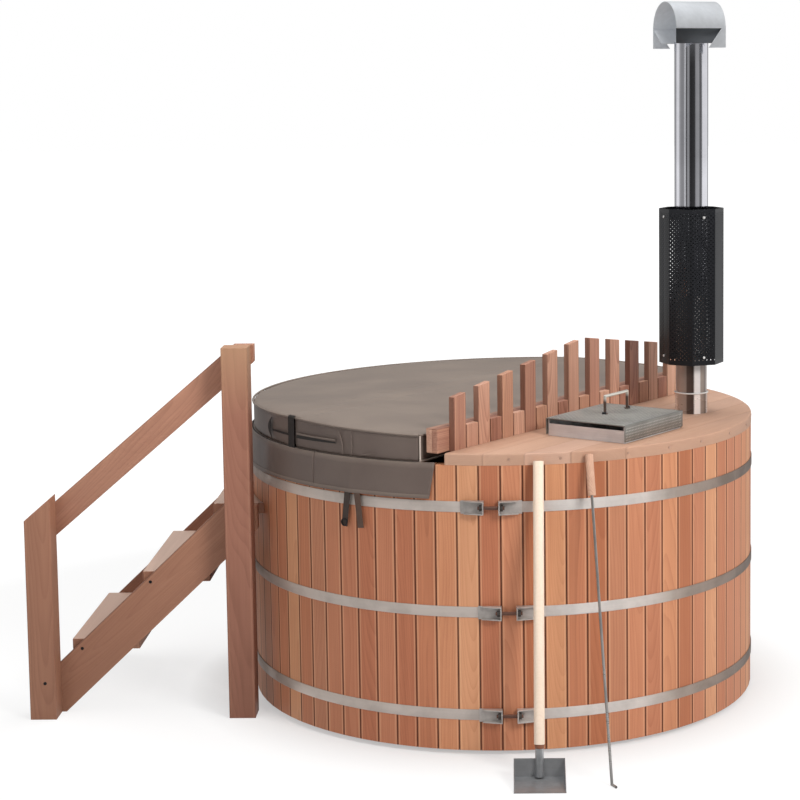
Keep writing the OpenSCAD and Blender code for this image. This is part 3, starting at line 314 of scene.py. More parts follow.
# The floor is shaded under the tub and near it, and plain white further out.
under, beside, far_out = 0.92, 1.15, 3.2
plain = calc(tree, "MAXIMUM", remap(tree, away, under, beside, 0.38, 0.68),
             remap(tree, away, beside, far_out))
share = calc(tree, "MAXIMUM", times(tree, seen, plain), mirrored)
floor_mix = node(tree, "MixShader", Fac=share, i1=shader.outputs[0], i2=glow.outputs[0])
feed(tree, tree.nodes["Material Output"].inputs, Surface=floor_mix.outputs[0])

bm = bmesh.new()
bmesh.ops.create_grid(bm, x_segments=1, y_segments=1, size=60)
floor = piece("studio_floor", bm, floor_material, None)
floor.location.z = -0.0005

world = bpy.data.worlds.new("studio")
scene.world = world
world.use_nodes = True
tree = world.node_tree
seen, mirrored, colour = shown(tree, node(tree, "TexCoord").outputs["Generated"])
bright = calc(tree, "MAXIMUM", seen, mirrored)
feed(tree, tree.nodes["Background"].inputs, Color=colour, Strength=linear(tree, bright, 0.62, 0.38))


def lamp(name, place, target, size, watts, colour=(1, 1, 1)):
    data = bpy.data.lights.new(name, "AREA")
    data.shape = "SQUARE"
    data.size = size
    data.energy = watts
    data.color = colour
    made = placed(name, data)
    made.location = place
    made.rotation_euler = (Vector(target) - Vector(place)).to_track_quat("-Z", "Y").to_euler()
    made.visible_glossy = False
    print(name, watts, "W")


lamp("key_lamp", (3.9, -5.3, 4.7), (0.2, 0, 0.8), 2.4, 355, (1, 0.985, 0.965))
lamp("fill_lamp", (-3.4, -5.6, 2.4), (-0.2, 0, 0.7), 2.4, 52)
lamp("top_lamp", (0.2, 0.2, 5.4), (0.1, -0.1, 0.9), 3.0, 150)

# %% [markdown]
# ## Cedar
# Red cedar is the tub's main surface, so its grain is modelled in the solid. Each board carries its
# own coordinates: along the grain, across the face and through the thickness. Growth rings are
# circles round a pith line that lies somewhere beside the board, so the faces show streaks and
# arches, and the sawn ends show arcs, as real boards do. Each board also has its own number, which
# picks its tone, from pale salmon to a deep red brown.


# %% The grain effect
grain, given, result = effect(
    "cedar grain",
    {"Board": "Vector", "Number": "Float", "Light": "Color", "Dark": "Color", "Ring Spacing": "Float",
     "Contrast": "Float", "Half Width": "Float", "Seam": "Float"},
    {"Color": "Color", "Roughness": "Float", "Height": "Float"})
t = grain
number = given["Number"]
lengthwise, crosswise, inwards = node(t, "SeparateXYZ", Vector=given["Board"]).outputs
shift = node(t, "TexWhiteNoise", {"noise_dimensions": "1D"}, W=times(t, number, 91.7))
shifts = node(t, "SeparateColor", Color=shift.outputs["Color"]).outputs
moved = node(t, "CombineXYZ", X=linear(t, number, 40.0, lengthwise), Y=crosswise, Z=inwards).outputs[0]
bends = node(t, "SeparateColor", Color=clouds(t, moved, (1.1, 6, 6))["Color"]).outputs
pith_y = linear(t, shifts[0], 0.12, -0.06)
pith_z = linear(t, calc(t, "POWER", shifts[1], 1.6), 0.16, 0.012)
taper = times(t, lengthwise, linear(t, shifts[2], 0.10, -0.05))
ring_y = plus(t, crosswise, pith_y, linear(t, bends[0], 0.036, -0.018))
ring_z = plus(t, inwards, pith_z, taper, linear(t, bends[1], 0.036, -0.018))
from_pith = distance(t, ring_y, ring_z)
uneven = node(t, "TexNoise", {"noise_dimensions": "1D"}, W=times(t, from_pith, 55.0), Scale=1.0,
              Detail=2.0).outputs["Fac"]
ring_count = plus(t, calc(t, "DIVIDE", from_pith, given["Ring Spacing"]), times(t, uneven, 2.2))
saw = calc(t, "FRACT", ring_count)
ring = times(t, calc(t, "POWER", saw, 2.4), remap(t, saw, 0.94, 1.0, 1.0, 0.0))
streak = clouds(t, moved, (1.3, 70, 70), detail=3.0, roughness=0.6)["Fac"]
fibre = clouds(t, moved, (9, 900, 900))["Fac"]
patches = clouds(t, moved, (2.2, 9, 9))["Fac"]
depth = plus(t, times(t, remap(t, streak, 0.3, 0.7), 0.42), times(t, remap(t, fibre, 0.3, 0.7), 0.16))
depth = times(t, plus(t, times(t, ring, 0.62), depth), given["Contrast"])
tone = mix(t, depth, given["Light"], given["Dark"])
tone = mix(t, times(t, remap(t, patches, 0.35, 0.75), 0.22), tone, given["Dark"])
# A dark line is drawn along each board's edge where two boards meet, and beside it a painted highlight stands
# for light on the eased edge.
to_edge = calc(t, "SUBTRACT", given["Half Width"], calc(t, "ABSOLUTE", crosswise))
joint_line = times(t, remap(t, to_edge, 0.0008, 0.0042, 1.0, 0.0), given["Seam"])
edge_highlight = times(t, remap(t, to_edge, 0.0034, 0.0050), remap(t, to_edge, 0.0060, 0.0100, 0.35, 0.0))
tone = mix(t, times(t, edge_highlight, given["Seam"]), tone, paint("E9B892"))
tone = mix(t, joint_line, tone, paint("4A2416"))
feed(t, result, Color=tone, Roughness=linear(t, depth, -0.10, 0.56),
     Height=plus(t, times(t, ring, 0.5), times(t, fibre, 0.5)))
print(len(grain.nodes), "nodes in", grain.name)


# %% Cedar finishes
def cedar(name, lights, darks, contrast=0.6, spacing=0.0045, seam=0.25, foot=1.0, high_pale=0.0):
    """A timber finish: each board takes a light and a dark tone by its own number. foot paints shade that
    darkens the timber near the ground, and the last argument pales it high up."""
    material, tree, shader = finish(name, Specular_IOR_Level=0.35)
    number = told(tree, "number")["Fac"]
    light, dark = [ramp(tree, number, [(i / len(codes), paint(c)) for i, c in enumerate(codes)], "CONSTANT")
                   for codes in (lights.split(), darks.split())]
    out = use(tree, grain, Board=told(tree, "board")["Vector"], Number=number, Light=light, Dark=dark,
              Contrast=contrast, Ring_Spacing=spacing, Half_Width=told(tree, "half_width")["Fac"], Seam=seam)
    tone = out["Color"]
    if foot < 1:
        height = here(tree, 2)
        tone = mix(tree, remap(tree, height, 1.05, 1.30, 0.0, high_pale), tone, paint("CDA882"))
        # Painted shade: the timber darkens towards the ground.
        tone = shaded(tree, tone, remap(tree, height, 0.1, 1.1, foot, 1.0))
    feed(tree, shader.inputs, Base_Color=tone, Roughness=out["Roughness"])
    raise_by(tree, shader, out["Height"], 0.0004, 0.6)
    return material


stave_cedar = cedar("stave cedar", "CC8E68 C08060 D0966E BA7656 C88866 BE7C5A D29A74 B4724F C48462 BE8262",
                    "9E6044 96573C AA6C4C 8C5038 9C5E42 92583E AE7250 884A32 985A42 945C42", 0.58, seam=0.9)
deck_cedar = cedar("deck cedar", "C09C86 BD9881 C29E89 BB957E BE9A84",
                   "A6806D A27C68 A88270 A07A65 A47E6A", 0.36, seam=0.2)
fence_cedar = cedar("fence cedar", "DDB49C CA9A84 E0BCA2 BC8C76 D4A68E B07E6A D8AC94 CE9E82",
                    "9C6A54 844F3E A67660 764436 8E5C4A 6C4032 966452 865444", 0.8, seam=0.45)
step_tones = ("BC8A72 B48068 C2947C AC7864 B8866C", "865646 7C4E3E 8E5E4C 764A3A 825242")
step_cedar = cedar("step cedar", *step_tones, 0.44, foot=0.68)
post_cedar = cedar("post cedar", *step_tones, 0.44, foot=0.68, high_pale=0.45)
tread_cedar = cedar("worn tread", "D2B4A4 CCAE9E D6BAAA", "AC8C7C A68676 B09282", 0.4)
ferrule_wood = cedar("dark ferrule", "8A5A44 865640", "5E3A2A 5A3626", 0.5, seam=0.0)
pale_ash = cedar("pale ash", "F1DECC EEDAC6", "E2C8AC DEC4A6", 0.5, 0.006, seam=0.0)
grip_wood = cedar("brown grip", "DDB7A0 D8B098", "A87C68 A07460", 0.6, seam=0.0)

# %% [markdown]
# ## Boards
# A board in the CAD model is a sharp block. On the tub every edge is eased, and the thin dark lines
# between the staves come from those rounded edges. So each timber node is copied and its triangles
# are joined back into faces. Then its edges are bevelled, and each board gets its own coordinates
# for the grain. The places and sizes stay those of the solids.


# %% Helpers for boards
def second_finish(obj, chosen):
    """Gives an object's second material to the faces that chosen(middle, normal) names."""
    for face in obj.data.polygons:
        if chosen(face.center, face.normal):
            face.material_index = 1


def joined(bm, rows, closed=True):
    """Joins rows of corners with faces. Closed rows are rings, and their two ends are capped."""
    for a, b in zip(rows, rows[1:]):
        for i in range(len(a) if closed else len(a) - 1):
            k = (i + 1) % len(a)
            bm.faces.new((a[i], a[k], b[k], b[i]))
    if closed and rows[0] != rows[-1]:
        bm.faces.new(list(reversed(rows[0])))
        bm.faces.new(rows[-1])


def ring_at(bm, middle, x, y, many=8):
    """New corners in a ring round a place. x and y are its two radii, as directions."""
    turns_round = (2 * pi * k / many for k in range(many))
    return [bm.verts.new(middle + x * cos(t) + y * sin(t)) for t in turns_round]


def islands(bm):
    """The separate solids of a mesh, each as its list of vertices."""
    left, found = set(bm.verts), []
    while left:
        start = left.pop()
        group, edge = [start], [start]
        while edge:
            v = edge.pop()
            for e in v.link_edges:
                o = e.other_vert(v)
                if o in left:
                    left.remove(o)
                    group.append(o)
                    edge.append(o)
        found.append(group)
    return found


def grain_places(bm, grain_way, face_way, seed):
    """Writes each board's own coordinates and number, which the cedar finishes read."""
    place = bm.verts.layers.float_vector.new("board")
    number = bm.verts.layers.float.new("number")
    half_width = bm.verts.layers.float.new("half_width")
    dice = random.Random(seed)
    found = islands(bm)
    found.sort(key=lambda g: tuple(round(c, 3) for c in sum((v.co for v in g), Vector()) / len(g)))
    for group in found:
        middle = sum((v.co for v in group), Vector()) / len(group)
        g = grain_way(middle) if callable(grain_way) else grain_way
        f = face_way(middle) if callable(face_way) else face_way
        g = g.normalized()
        s = f.cross(g).normalized()
        f = g.cross(s)
        pick = dice.random()
        half = max(abs((v.co - middle).dot(s)) for v in group)
        for v in group:
            p = v.co - middle
            v[place] = (p.dot(g), p.dot(s), p.dot(f))
            v[number] = pick
            v[half_width] = half
    return len(found)


def cad_mesh(name):
    """A CAD node's mesh, with its corners joined."""
    bm = bmesh.new()
    bm.from_mesh(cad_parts[name].data)
    bmesh.ops.remove_doubles(bm, verts=bm.verts, dist=0.00002)
    return bm


def eased_copy(name, ease):
    """A CAD node's mesh with its triangles joined into faces and its sharp edges rounded."""
    bm = cad_mesh(name)
    bmesh.ops.dissolve_limit(bm, angle_limit=radians(0.8), verts=bm.verts, edges=bm.edges)
    sharp = [e for e in bm.edges if len(e.link_faces) == 2 and e.calc_face_angle(0) > radians(30)]
    if ease:
        bmesh.ops.bevel(bm, geom=sharp, offset=ease / 1000, offset_type="OFFSET", segments=2, profile=0.5,
                        affect="EDGES", material=-1, clamp_overlap=True)
    return bm


def timber(name, material, grain_way, face_way, ease=2.0, body="tub", seed=1, smooth=25):
    bm = eased_copy(name, ease)
    print(name, "boards:", grain_places(bm, grain_way, face_way, seed))
    return piece("timber_" + name, bm, material, body, name, smooth)


# %% The tub's timber
def outward(middle):
    return Vector((middle.x, middle.y, 0)).normalized()


timber("staves", stave_cedar, UP, outward, 2.2, seed=7)
timber("deck_boards", deck_cedar, ALONG, UP, 2.0, seed=3)
timber("fence_tall_slats", fence_cedar, UP, ACROSS, 1.6, seed=11)
timber("fence_short_slats", fence_cedar, UP, ACROSS, 1.6, seed=5)
timber("fence_rails", fence_cedar, ALONG, ACROSS, 1.6, seed=6)
timber("floor_boards", fence_cedar, Vector((1, 0, 0)), UP, 0.8, seed=8)
timber("chine_joists", step_cedar, Vector((0, 1, 0)), UP, 2.0, seed=9)
timber("deck_bearers", fence_cedar, ACROSS, ALONG, 1.6, seed=10)
timber("bench_seats", deck_cedar, lambda m: UP.cross(outward(m)), UP, 3.0, seed=12)
timber("bench_bearers", fence_cedar, outward, UP, 2.0, seed=13)
timber("bench_legs", fence_cedar, UP, outward, 2.0, seed=14)

# %% The steps' timber
going, rise, rail_rise = 252, 238, 0.858
slope = Vector((going, 0, rise))
rail_slope = Vector((1, 0, rail_rise))
front = Vector((0, -1, 0))
timber("stair_near_stringer", step_cedar, slope, front, 2.0, seed=15)
timber("stair_far_stringer", step_cedar, slope, front, 2.0, seed=16)
treads = timber("stair_treads", (step_cedar, tread_cedar), -front, UP, 2.5, seed=17)
second_finish(treads, lambda middle, normal: normal.z > 0.5)
timber("tread_cleats", step_cedar, Vector((1, 0, 0)), UP, 1.5, seed=18)
timber("stair_tall_post", post_cedar, UP, front, 2.5, seed=19)
timber("stair_short_post", step_cedar, UP, front, 2.5, seed=20)
timber("stair_handrail", step_cedar, rail_slope, front, 2.5, seed=21)

# %% [markdown]
# ## Metal
# The tub has many kinds of metal: flat hoops, dull lugs, polished pipes, a satin hood, raised-pattern
# plate on the hatch, cast bars on the grate and brass on the drain. One effect serves them all. It
# draws fine scratches along one direction, and cloudy smudges that dull the shine.

# %% The brushed effect
brushed, given, result = effect(
    "brushed metal",
    {"Place": "Vector", "Color": "Color", "Shine": "Float", "Smudge": "Float", "Scratch": "Float"},
    {"Color": "Color", "Roughness": "Float", "Height": "Float"})
t = brushed
lines = clouds(t, given["Place"], (14, 1100, 1100))["Fac"]
bands = clouds(t, given["Place"], (3, 90, 90))["Fac"]
smear = clouds(t, given["Place"], scale=9.0, detail=4.0, roughness=0.6)["Fac"]
uneven = calc(t, "SUBTRACT", linear(t, bands, 0.5, times(t, lines, 0.5)), 0.5)
scratch = times(t, uneven, given["Scratch"])
smudge = times(t, remap(t, smear, 0.42, 0.68), given["Smudge"])
dimmed = calc(t, "SUBTRACT", linear(t, scratch, 0.9, 1.0), times(t, smudge, 0.45))
rough = plus(t, given["Shine"], times(t, scratch, 0.5), times(t, smudge, 0.35))
feed(t, result, Color=shaded(t, given["Color"], dimmed), Roughness=calc(t, "MAXIMUM", rough, 0.03),
     Height=lines)


def round_place(tree, centre, radius):
    """Object coordinates wrapped round an upright axis: the arc, the height and the distance."""
    moved = scaled(tree, here(tree), (1, 1, 1), tuple(-c for c in centre))
    x, y, height = node(tree, "SeparateXYZ", Vector=moved).outputs
    return times(tree, calc(tree, "ARCTAN2", y, x), radius), height, distance(tree, x, y)


def metal(name, colour, shine, smudge=0.3, scratch=0.3, run=0, round_it=None, metallic=1.0, reflection_stripes=None):
    """A metal finish. run turns the scratches by its degrees, or round_it gives an upright axis that they go
    round, and a radius. The last argument gives painted reflections: upright bands of tone, from one side of
    that axis to the other."""
    material, tree, shader = finish(name, Metallic=metallic)
    if round_it:
        arc, height, far = round_place(tree, *round_it)
        place = node(tree, "CombineXYZ", X=arc, Y=height, Z=far).outputs[0]
    else:
        place = node(tree, "Mapping", Vector=here(tree), Rotation=(0, 0, radians(run))).outputs[0]
    out = use(tree, brushed, Place=place, Color=paint(colour), Shine=shine, Smudge=smudge, Scratch=scratch)
    tone = out["Color"]
    # Painted reflections: bands of tone across the part.
    if reflection_stripes:
        middle, radius = round_it[0][0], round_it[1]
        bands = ramp(tree, remap(tree, here(tree, 0), middle - radius, middle + radius), reflection_stripes)
        tone = mix(tree, 1.0, tone, bands, "MULTIPLY")
    feed(tree, shader.inputs, Base_Color=tone, Roughness=out["Roughness"])
    raise_by(tree, shader, out["Height"], 0.00004, 0.35)
    return material


# %% Metal finishes
low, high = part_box("flue_upper_pipe")
flue = Vector(((low[0] + high[0]) / 2, (low[1] + high[1]) / 2, 0))
# Painted reflection: the hoops are dark at both ends and white right of the middle, where the lights would
# show in them.
hoop_reflection_bands = tones(0.0, "8A7466", 0.05, "B8ABA2", 0.11, "DDD6D0", 0.40, "E6E0DC", 0.56, "F2EEEC",
                   0.62, "FFFFFF", 0.76, "F4F0EE", 0.82, "B8AEA6", 0.92, "8E8076", 1.0, "74665C")
hoop_steel = metal("hoop steel", "E6DFDA", 0.40, 0.40, 0.3, round_it=((0, 0, 0), 0.9), metallic=0.4,
                   reflection_stripes=hoop_reflection_bands)
lug_steel = metal("lug steel", "D2CBC6", 0.36, 0.8, 0.4, metallic=0.5)
# Painted reflection: the rods are coloured brown, as the cedar shows in them.
rod_wood_reflection = metal("rod steel painted wood reflection", "7E5E52", 0.4, 0.6, 0.3, metallic=0.6)
nut_steel = metal("nut steel", "57504C", 0.4, 0.6, 0.3, metallic=0.6)
bright_steel = metal("bright steel", "D9D8D6", 0.16, 0.25, 0.2)
pipe_axis = (tuple(flue), 0.06)
pipe_steel = metal("polished pipe", "D2D2D8", 0.09, 0.18, 0.10, round_it=pipe_axis)
# Painted reflection: upright light and dark bands round the collar and the lower pipe.
collar_reflection_bands = tones(0.0, "E8E0DA", 0.05, "E8E0DA", 0.08, "BFB2AA", 0.30, "A0938B", 0.34, "5A4C46",
                   0.52, "463C38", 0.56, "FFFFFF", 0.71, "FFFFFF", 0.75, "A89C94", 0.86, "8C8078",
                   0.89, "4A423E", 0.92, "E0DAD6", 1.0, "C8C0BA")
collar_steel = metal("polished collar", "F2EEEC", 0.26, 0.3, 0.12, round_it=pipe_axis, metallic=0.3,
                     reflection_stripes=collar_reflection_bands)
satin_steel = metal("satin sheet", "D4D7DB", 0.38, 0.25, 0.3, run=FENCE_TURN, metallic=0.72)
# Painted light: a paler, nearly plain copy of the satin sheet for faces that should look lit, inside the hood
# and on the flaps.
lit_inside_sheet = metal("inside sheet painted lit", "E0E4E9", 0.5, 0.25, 0.3, run=FENCE_TURN, metallic=0.15)
brushed_plate = metal("brushed plate", "E4E2E2", 0.34, 0.3, 0.6, run=FENCE_TURN, metallic=0.7)
lid_sheet = metal("lid sheet", "85837E", 0.38, 0.5, 0.4, run=FENCE_TURN, metallic=0.55)
tread_steel = metal("tread bars", "D2D0CA", 0.30, run=FENCE_TURN, metallic=0.5)
# Painted shade: a dark copy of the sheet for the front flap's outer faces.
shaded_flap_sheet = metal("flap sheet painted shade", "5C5F63", 0.42, run=FENCE_TURN)
zinc = metal("galvanised sheet", "B6B7B9", 0.30, 0.5, 0.4, metallic=0.72)
screw_steel = metal("screw steel", "8E8880", 0.36, 0.4, 0.2)
bright_screw = metal("bright screw", "E4E2E0", 0.34, 0.2, 0.1, metallic=0.4)
deck_screw = metal("deck screw", "B4917E", 0.4, 0.2, 0.1, metallic=0.3)
cast_alloy = metal("cast marine alloy", "A9A9A6", 0.52, 0.6, 0.15)
cast_iron = metal("cast iron", "4B4845", 0.66, 0.7, 0.1, metallic=0.7)
brass = metal("drain brass", "C9A45C", 0.26, 0.4, 0.2)
poker_steel = metal("poker steel", "B4B1AE", 0.28, 0.5, 0.4)
black_paint = metal("black enamel", "1C1D20", 0.38, 0.3, 0.2, metallic=0.2)

# The heat guard is a punched sheet. Round holes in staggered rows let the bright pipe show through.
punched, tree, shader = finish("punched guard", Base_Color=paint("1D1E22"), Roughness=0.36, Metallic=0.3)
guard_r, hole_pitch, hole_r, plain_edge = 0.104, 0.0145, 0.0023, 0.014
guard_low, guard_high = (corner[2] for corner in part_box("heat_guard"))
arc, height = round_place(tree, tuple(flue), guard_r)[:2]
rows = []
for off in (0.0, 0.5):
    places = [calc(tree, "SUBTRACT", calc(tree, "FRACT", linear(tree, way, 1 / hole_pitch, off)), 0.5)
              for way in (arc, height)]
    rows.append(distance(tree, *places))
punch = calc(tree, "GREATER_THAN", calc(tree, "MINIMUM", *rows), hole_r / hole_pitch)
for edge, sign in ((guard_low + plain_edge, "LESS_THAN"), (guard_high - plain_edge, "GREATER_THAN")):
    punch = calc(tree, "MAXIMUM", punch, calc(tree, sign, height, edge))
feed(tree, shader.inputs, Alpha=punch)


# %% Metal pieces that keep their CAD shape
def fitting(name, material, ease=0.4, body="tub"):
    """A CAD node with its sharp edges eased, in a metal finish."""
    return piece("metal_" + name, eased_copy(name, ease), material, body, name, 30)


# Painted light: the handle bar is near white along its top and dark brown below.
bar_steel, tree, shader = finish("handle bar", Metallic=0.7, Roughness=0.3)
handle_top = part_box("hatch_handle")[1][2]
bar_highlight_share = remap(tree, here(tree, 2), handle_top - 0.024, handle_top - 0.012)
feed(tree, shader.inputs, Base_Color=mix(tree, bar_highlight_share, paint("6E5C54"), paint("E6E2D8")))

for hoop in ("hoop_bottom", "hoop_middle", "hoop_top"):
    fitting(hoop, hoop_steel, 0.6)
fitting("hoop_lugs", lug_steel, 0.8)
fitting("tension_rods", rod_wood_reflection, 0.5)
fitting("hoop_nuts", nut_steel, 0.8)
fitting("deck_screws", deck_screw, 0.3)
fitting("stair_bolts", screw_steel, 0.8)
fitting("stove_box", cast_alloy, 2.0)
fitting("stove_grate", cast_iron, 1.0)
fitting("stove_feet", cast_alloy, 1.0)
fitting("stove_lag_screws", screw_steel, 0.6)
fitting("stove_neck", brushed_plate, 0.6)
fitting("flue_lower_pipe", collar_steel, 0.3)
fitting("flue_collar", collar_steel, 0.5)
fitting("flue_upper_pipe", pipe_steel, 0.3)
# A bead stands round the collar's top. Its near-white finish paints the highlight along it.
collar_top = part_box("flue_collar")[1][2]
bead_z = collar_top - 0.003
bead_r = max((v.co - flue).xy.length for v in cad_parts["flue_collar"].data.vertices
             if v.co.z > collar_top - 0.006)
bm = bmesh.new()
outs = [Vector((cos(a), sin(a), 0)) for a in (2 * pi * i / 64 for i in range(64))]
rings = [ring_at(bm, flue + out * bead_r + UP * bead_z, out * 0.0024, UP * 0.0028) for out in outs]
joined(bm, rings + rings[:1])
bmesh.ops.recalc_face_normals(bm, faces=bm.faces)
piece("collar_bead", bm, bright_screw, "tub", (), 60)
fitting("heat_guard", punched, 0.6)
fitting("guard_spacers", black_paint, 0.5)
fitting("guard_screws", bright_screw, 0.4)
hood = fitting("cap_hood", (satin_steel, lit_inside_sheet), 0.4)
flaps = fitting("cap_flaps", (lit_inside_sheet, shaded_flap_sheet), 0.4)
fitting("hatch_lid", lid_sheet, 0.5, "hatch")
fitting("hatch_handle", bar_steel, 0.0, "hatch")
fitting("drain_fitting", brass, 0.6)
fitting("drain_locknut", brass, 1.0)
fitting("drain_valve_body", brass, 1.0)
fitting("drain_plug", bright_steel, 0.5, "drain_valve")
fitting("drain_lever", black_paint, 0.6, "drain_valve")
fitting("shovel_pan", zinc, 0.4, "shovel")
fitting("poker_rod", poker_steel, 0.0, "poker")

hood_middle = [(a + b) / 2 for a, b in zip(*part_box("cap_hood"))]
# The hood's inner faces take the painted-lit copy. The front flap's outer faces take the painted-shade copy,
# and the flaps' other faces the lit one.
second_finish(hood, lambda middle, normal: normal.dot(middle - Vector(hood_middle)) < 0)
second_finish(flaps, lambda middle, normal: middle.y < flue.y and normal.y < -0.2)

# %% Small dark screws in the steps' near side
post_low, post_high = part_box("stair_short_post")
stringer_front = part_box("stair_near_stringer")[0][1]
post_x = (post_low[0] + post_high[0]) / 2
bm = bmesh.new()
for x, y, z in ((post_x + 0.009, post_low[1], 0.128), (post_x + 0.121, stringer_front, 0.225),
                (post_x + 0.365, stringer_front, 0.459)):
    facing_front = Matrix.Translation((x, y - 0.0004, z)) @ Matrix.Rotation(pi / 2, 4, "X")
    bmesh.ops.create_cone(bm, cap_ends=True, segments=20, radius1=0.006, radius2=0.005, depth=0.0012,
                          matrix=facing_front)
piece("step_screws", bm, black_paint, "tub", (), 40)

# %% [markdown]
# ## Tread plate
# The lid is folded from tread plate, whose rows of small bars lean left and right in turn. A bump
# map could draw them, but it would leave the lid's outline smooth. So each bar is a few faces: a
# diamond for its foot and a ridge along its top. One function lays them on the top and both sides.

# %% The raised pattern on the hatch's lid
def tread(bm, corner, u, v, up, long, wide):
    """Rows of small raised bars that lean left and right in turn, as on tread plate."""
    pitch, half, thin, ridge, rise, margin = 9.5, 3.7, 1.2, 1.9, 0.8, 6.5
    for i in range(int((long - 2 * margin) / pitch) + 1):
        for k in range(int((wide - 2 * margin) / pitch) + 1):
            middle = corner + (u * (margin + pitch * i) + v * (margin + pitch * k)) / 1000
            way = (u + v * (1 if (i + k) % 2 else -1)).normalized()
            off = up.cross(way)
            base = [bm.verts.new(middle + (way * a + off * b) / 1000)
                    for a, b in ((half, 0), (0, thin), (-half, 0), (0, -thin))]
            tops = [bm.verts.new(middle + (way * a + up * rise) / 1000) for a in (ridge, -ridge)]
            points = base + tops
            for corners in ((0, 1, 4), (1, 2, 5), (2, 3, 5), (3, 0, 4), (1, 5, 4), (3, 4, 5), (3, 2, 1, 0)):
                bm.faces.new([points[c] for c in corners])


def reach(name, way):
    """How far a CAD node goes along a direction: its lowest and its highest place, in millimetres."""
    places = [v.co.dot(way) * 1000 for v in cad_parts[name].data.vertices]
    return min(places), max(places)


lid = [reach("hatch_lid", way) for way in (ACROSS, ALONG, UP)]
lid_long, lid_wide, lid_tall = (high - low for low, high in (lid[1], lid[0], lid[2]))
bm = bmesh.new()
tread(bm, spot(lid[0][0], lid[1][0], lid[2][1]), ALONG, ACROSS, UP, lid_long, lid_wide)
tread(bm, spot(lid[0][1], lid[1][0], lid[2][0]), ALONG, UP, ACROSS, lid_long, lid_tall)
tread(bm, spot(lid[0][0], lid[1][0], lid[2][0]), ALONG, UP, -ACROSS, lid_long, lid_tall)
bmesh.ops.recalc_face_normals(bm, faces=bm.faces)
piece("lid_tread", bm, tread_steel, "hatch", ())

# %% The shoes under the lid's handle
grip = [reach("hatch_handle", way) for way in (ACROSS, ALONG)]
bm = bmesh.new()
for along in (grip[1][0] + 5, grip[1][1] - 5):
    place = spot(sum(grip[0]) / 2, along, lid[2][1] + 3.5)
    bmesh.ops.create_cone(bm, cap_ends=True, segments=24, radius1=0.0085, radius2=0.0065, depth=0.007,
                          matrix=Matrix.Translation(place))
piece("handle_shoes", bm, black_paint, "hatch", (), 40)

# %% [markdown]
# ## Shovel and poker
# Both tools lean on the deck's edge. Their wooden parts are round, so the grain simply follows the
# tool's axis, and the cedar effect with pale tones serves for ash too.

# %% Tool handles
tool_axis = Vector((0, -0.25, 1))
timber("shovel_handle", pale_ash, tool_axis, front, 1.0, "shovel", 31, 40)
timber("shovel_ferrule", ferrule_wood, tool_axis, front, 0.6, "shovel", 32, 40)
timber("poker_grip", grip_wood, tool_axis, front, 0.8, "poker", 33, 40)

# %% [markdown]
# ## The cover
# Each half is a foam slab in a tight vinyl coat. The slab of the CAD model is remeshed as an even net
# and blown up a little as cloth, so its edges turn round and its top crowns. A welt runs along the
# rim's top edge, and a skirt of thin vinyl hangs from its foot over the staves.

# %% Vinyl and webbing
vinyl, tree, shader = finish("cover vinyl", Specular_IOR_Level=0.32)
leather = node(tree, "TexVoronoi", {"feature": "F1"}, Vector=here(tree), Scale=420.0).outputs["Distance"]
mottle = clouds(tree, here(tree), scale=5.0, detail=4.0)["Fac"]
shade = remap(tree, mottle, 0.35, 0.7)
dark = mix(tree, shade, paint("645751"), paint("6E615A"))
lit_vinyl = mix(tree, shade, paint("776A61"), paint("83766C"))
# Painted light: faces that look up take the paler vinyl and the sides take the darker, as if light fell from
# above.
feed(tree, shader.inputs, Base_Color=mix(tree, told(tree, "light_from_top")["Fac"], dark, lit_vinyl),
     Roughness=remap(tree, mottle, 0.3, 0.7, 0.40, 0.52))
raise_by(tree, shader, leather, 0.0002, 0.25)


def two_tone(name, one, other, rough, scale, woven=True):
    """A finish in two tones: a fine weave, or small clouds."""
    material, tree, shader = finish(name, Roughness=rough)
    if woven:
        share = node(tree, "TexWave", {"bands_direction": "Z"}, Vector=here(tree), Scale=scale).outputs["Fac"]
        raise_by(tree, shader, share, 0.0006, 0.5)
    else:
        share = clouds(tree, here(tree), scale=scale)["Fac"]
    feed(tree, shader.inputs, Base_Color=mix(tree, share, paint(one), paint(other)))
    return material


# Painted highlight: the corner piping is paler than the vinyl, standing for the light along it.
highlight_piping = two_tone("piping with painted highlight", "C9BCB2", "B0A298", 0.45, 30.0, False)
brown_strap = two_tone("brown strap", "5E483C", "4A372E", 0.6, 60.0, False)
webbing = two_tone("black webbing", "1D1917", "34302D", 0.75, 180.0)
strap_cloth = two_tone("strap webbing", "2E2623", "4A3D36", 0.7, 160.0)


# %% The padded halves
def blown(name, net, start, most):
    """A CAD pad as a net of quads, inset by start and blown up by at most most, in metres."""
    pad = piece(name + "_net", cad_mesh(name), (), None)
    remesh = pad.modifiers.new("net", "REMESH")
    remesh.mode = "VOXEL"
    remesh.voxel_size = net
    smooth = pad.modifiers.new("round", "SMOOTH")
    smooth.iterations = 1
    settle(pad)
    bm = bmesh.new()
    bm.from_mesh(pad.data)
    bm.normal_update()
    for v in bm.verts:
        v.co -= v.normal * start
    bm.to_mesh(pad.data)
    bm.free()
    before = [v.co.copy() for v in pad.data.vertices]
    cloth = pad.modifiers.new("cloth", "CLOTH")
    settings = cloth.settings
    settings.use_pressure = True
    settings.uniform_pressure_force = 4.0
    settings.effector_weights.gravity = 0.0
    settings.quality = 4
    cloth.point_cache.frame_start, cloth.point_cache.frame_end = 1, 20
    for step in range(1, 21):
        scene.frame_set(step)
    settle(pad)
    scene.frame_set(1)
    for v, old in zip(pad.data.vertices, before):
        way = v.co - old
        if way.length > most:
            v.co = old + way * (most / way.length)
    return pad


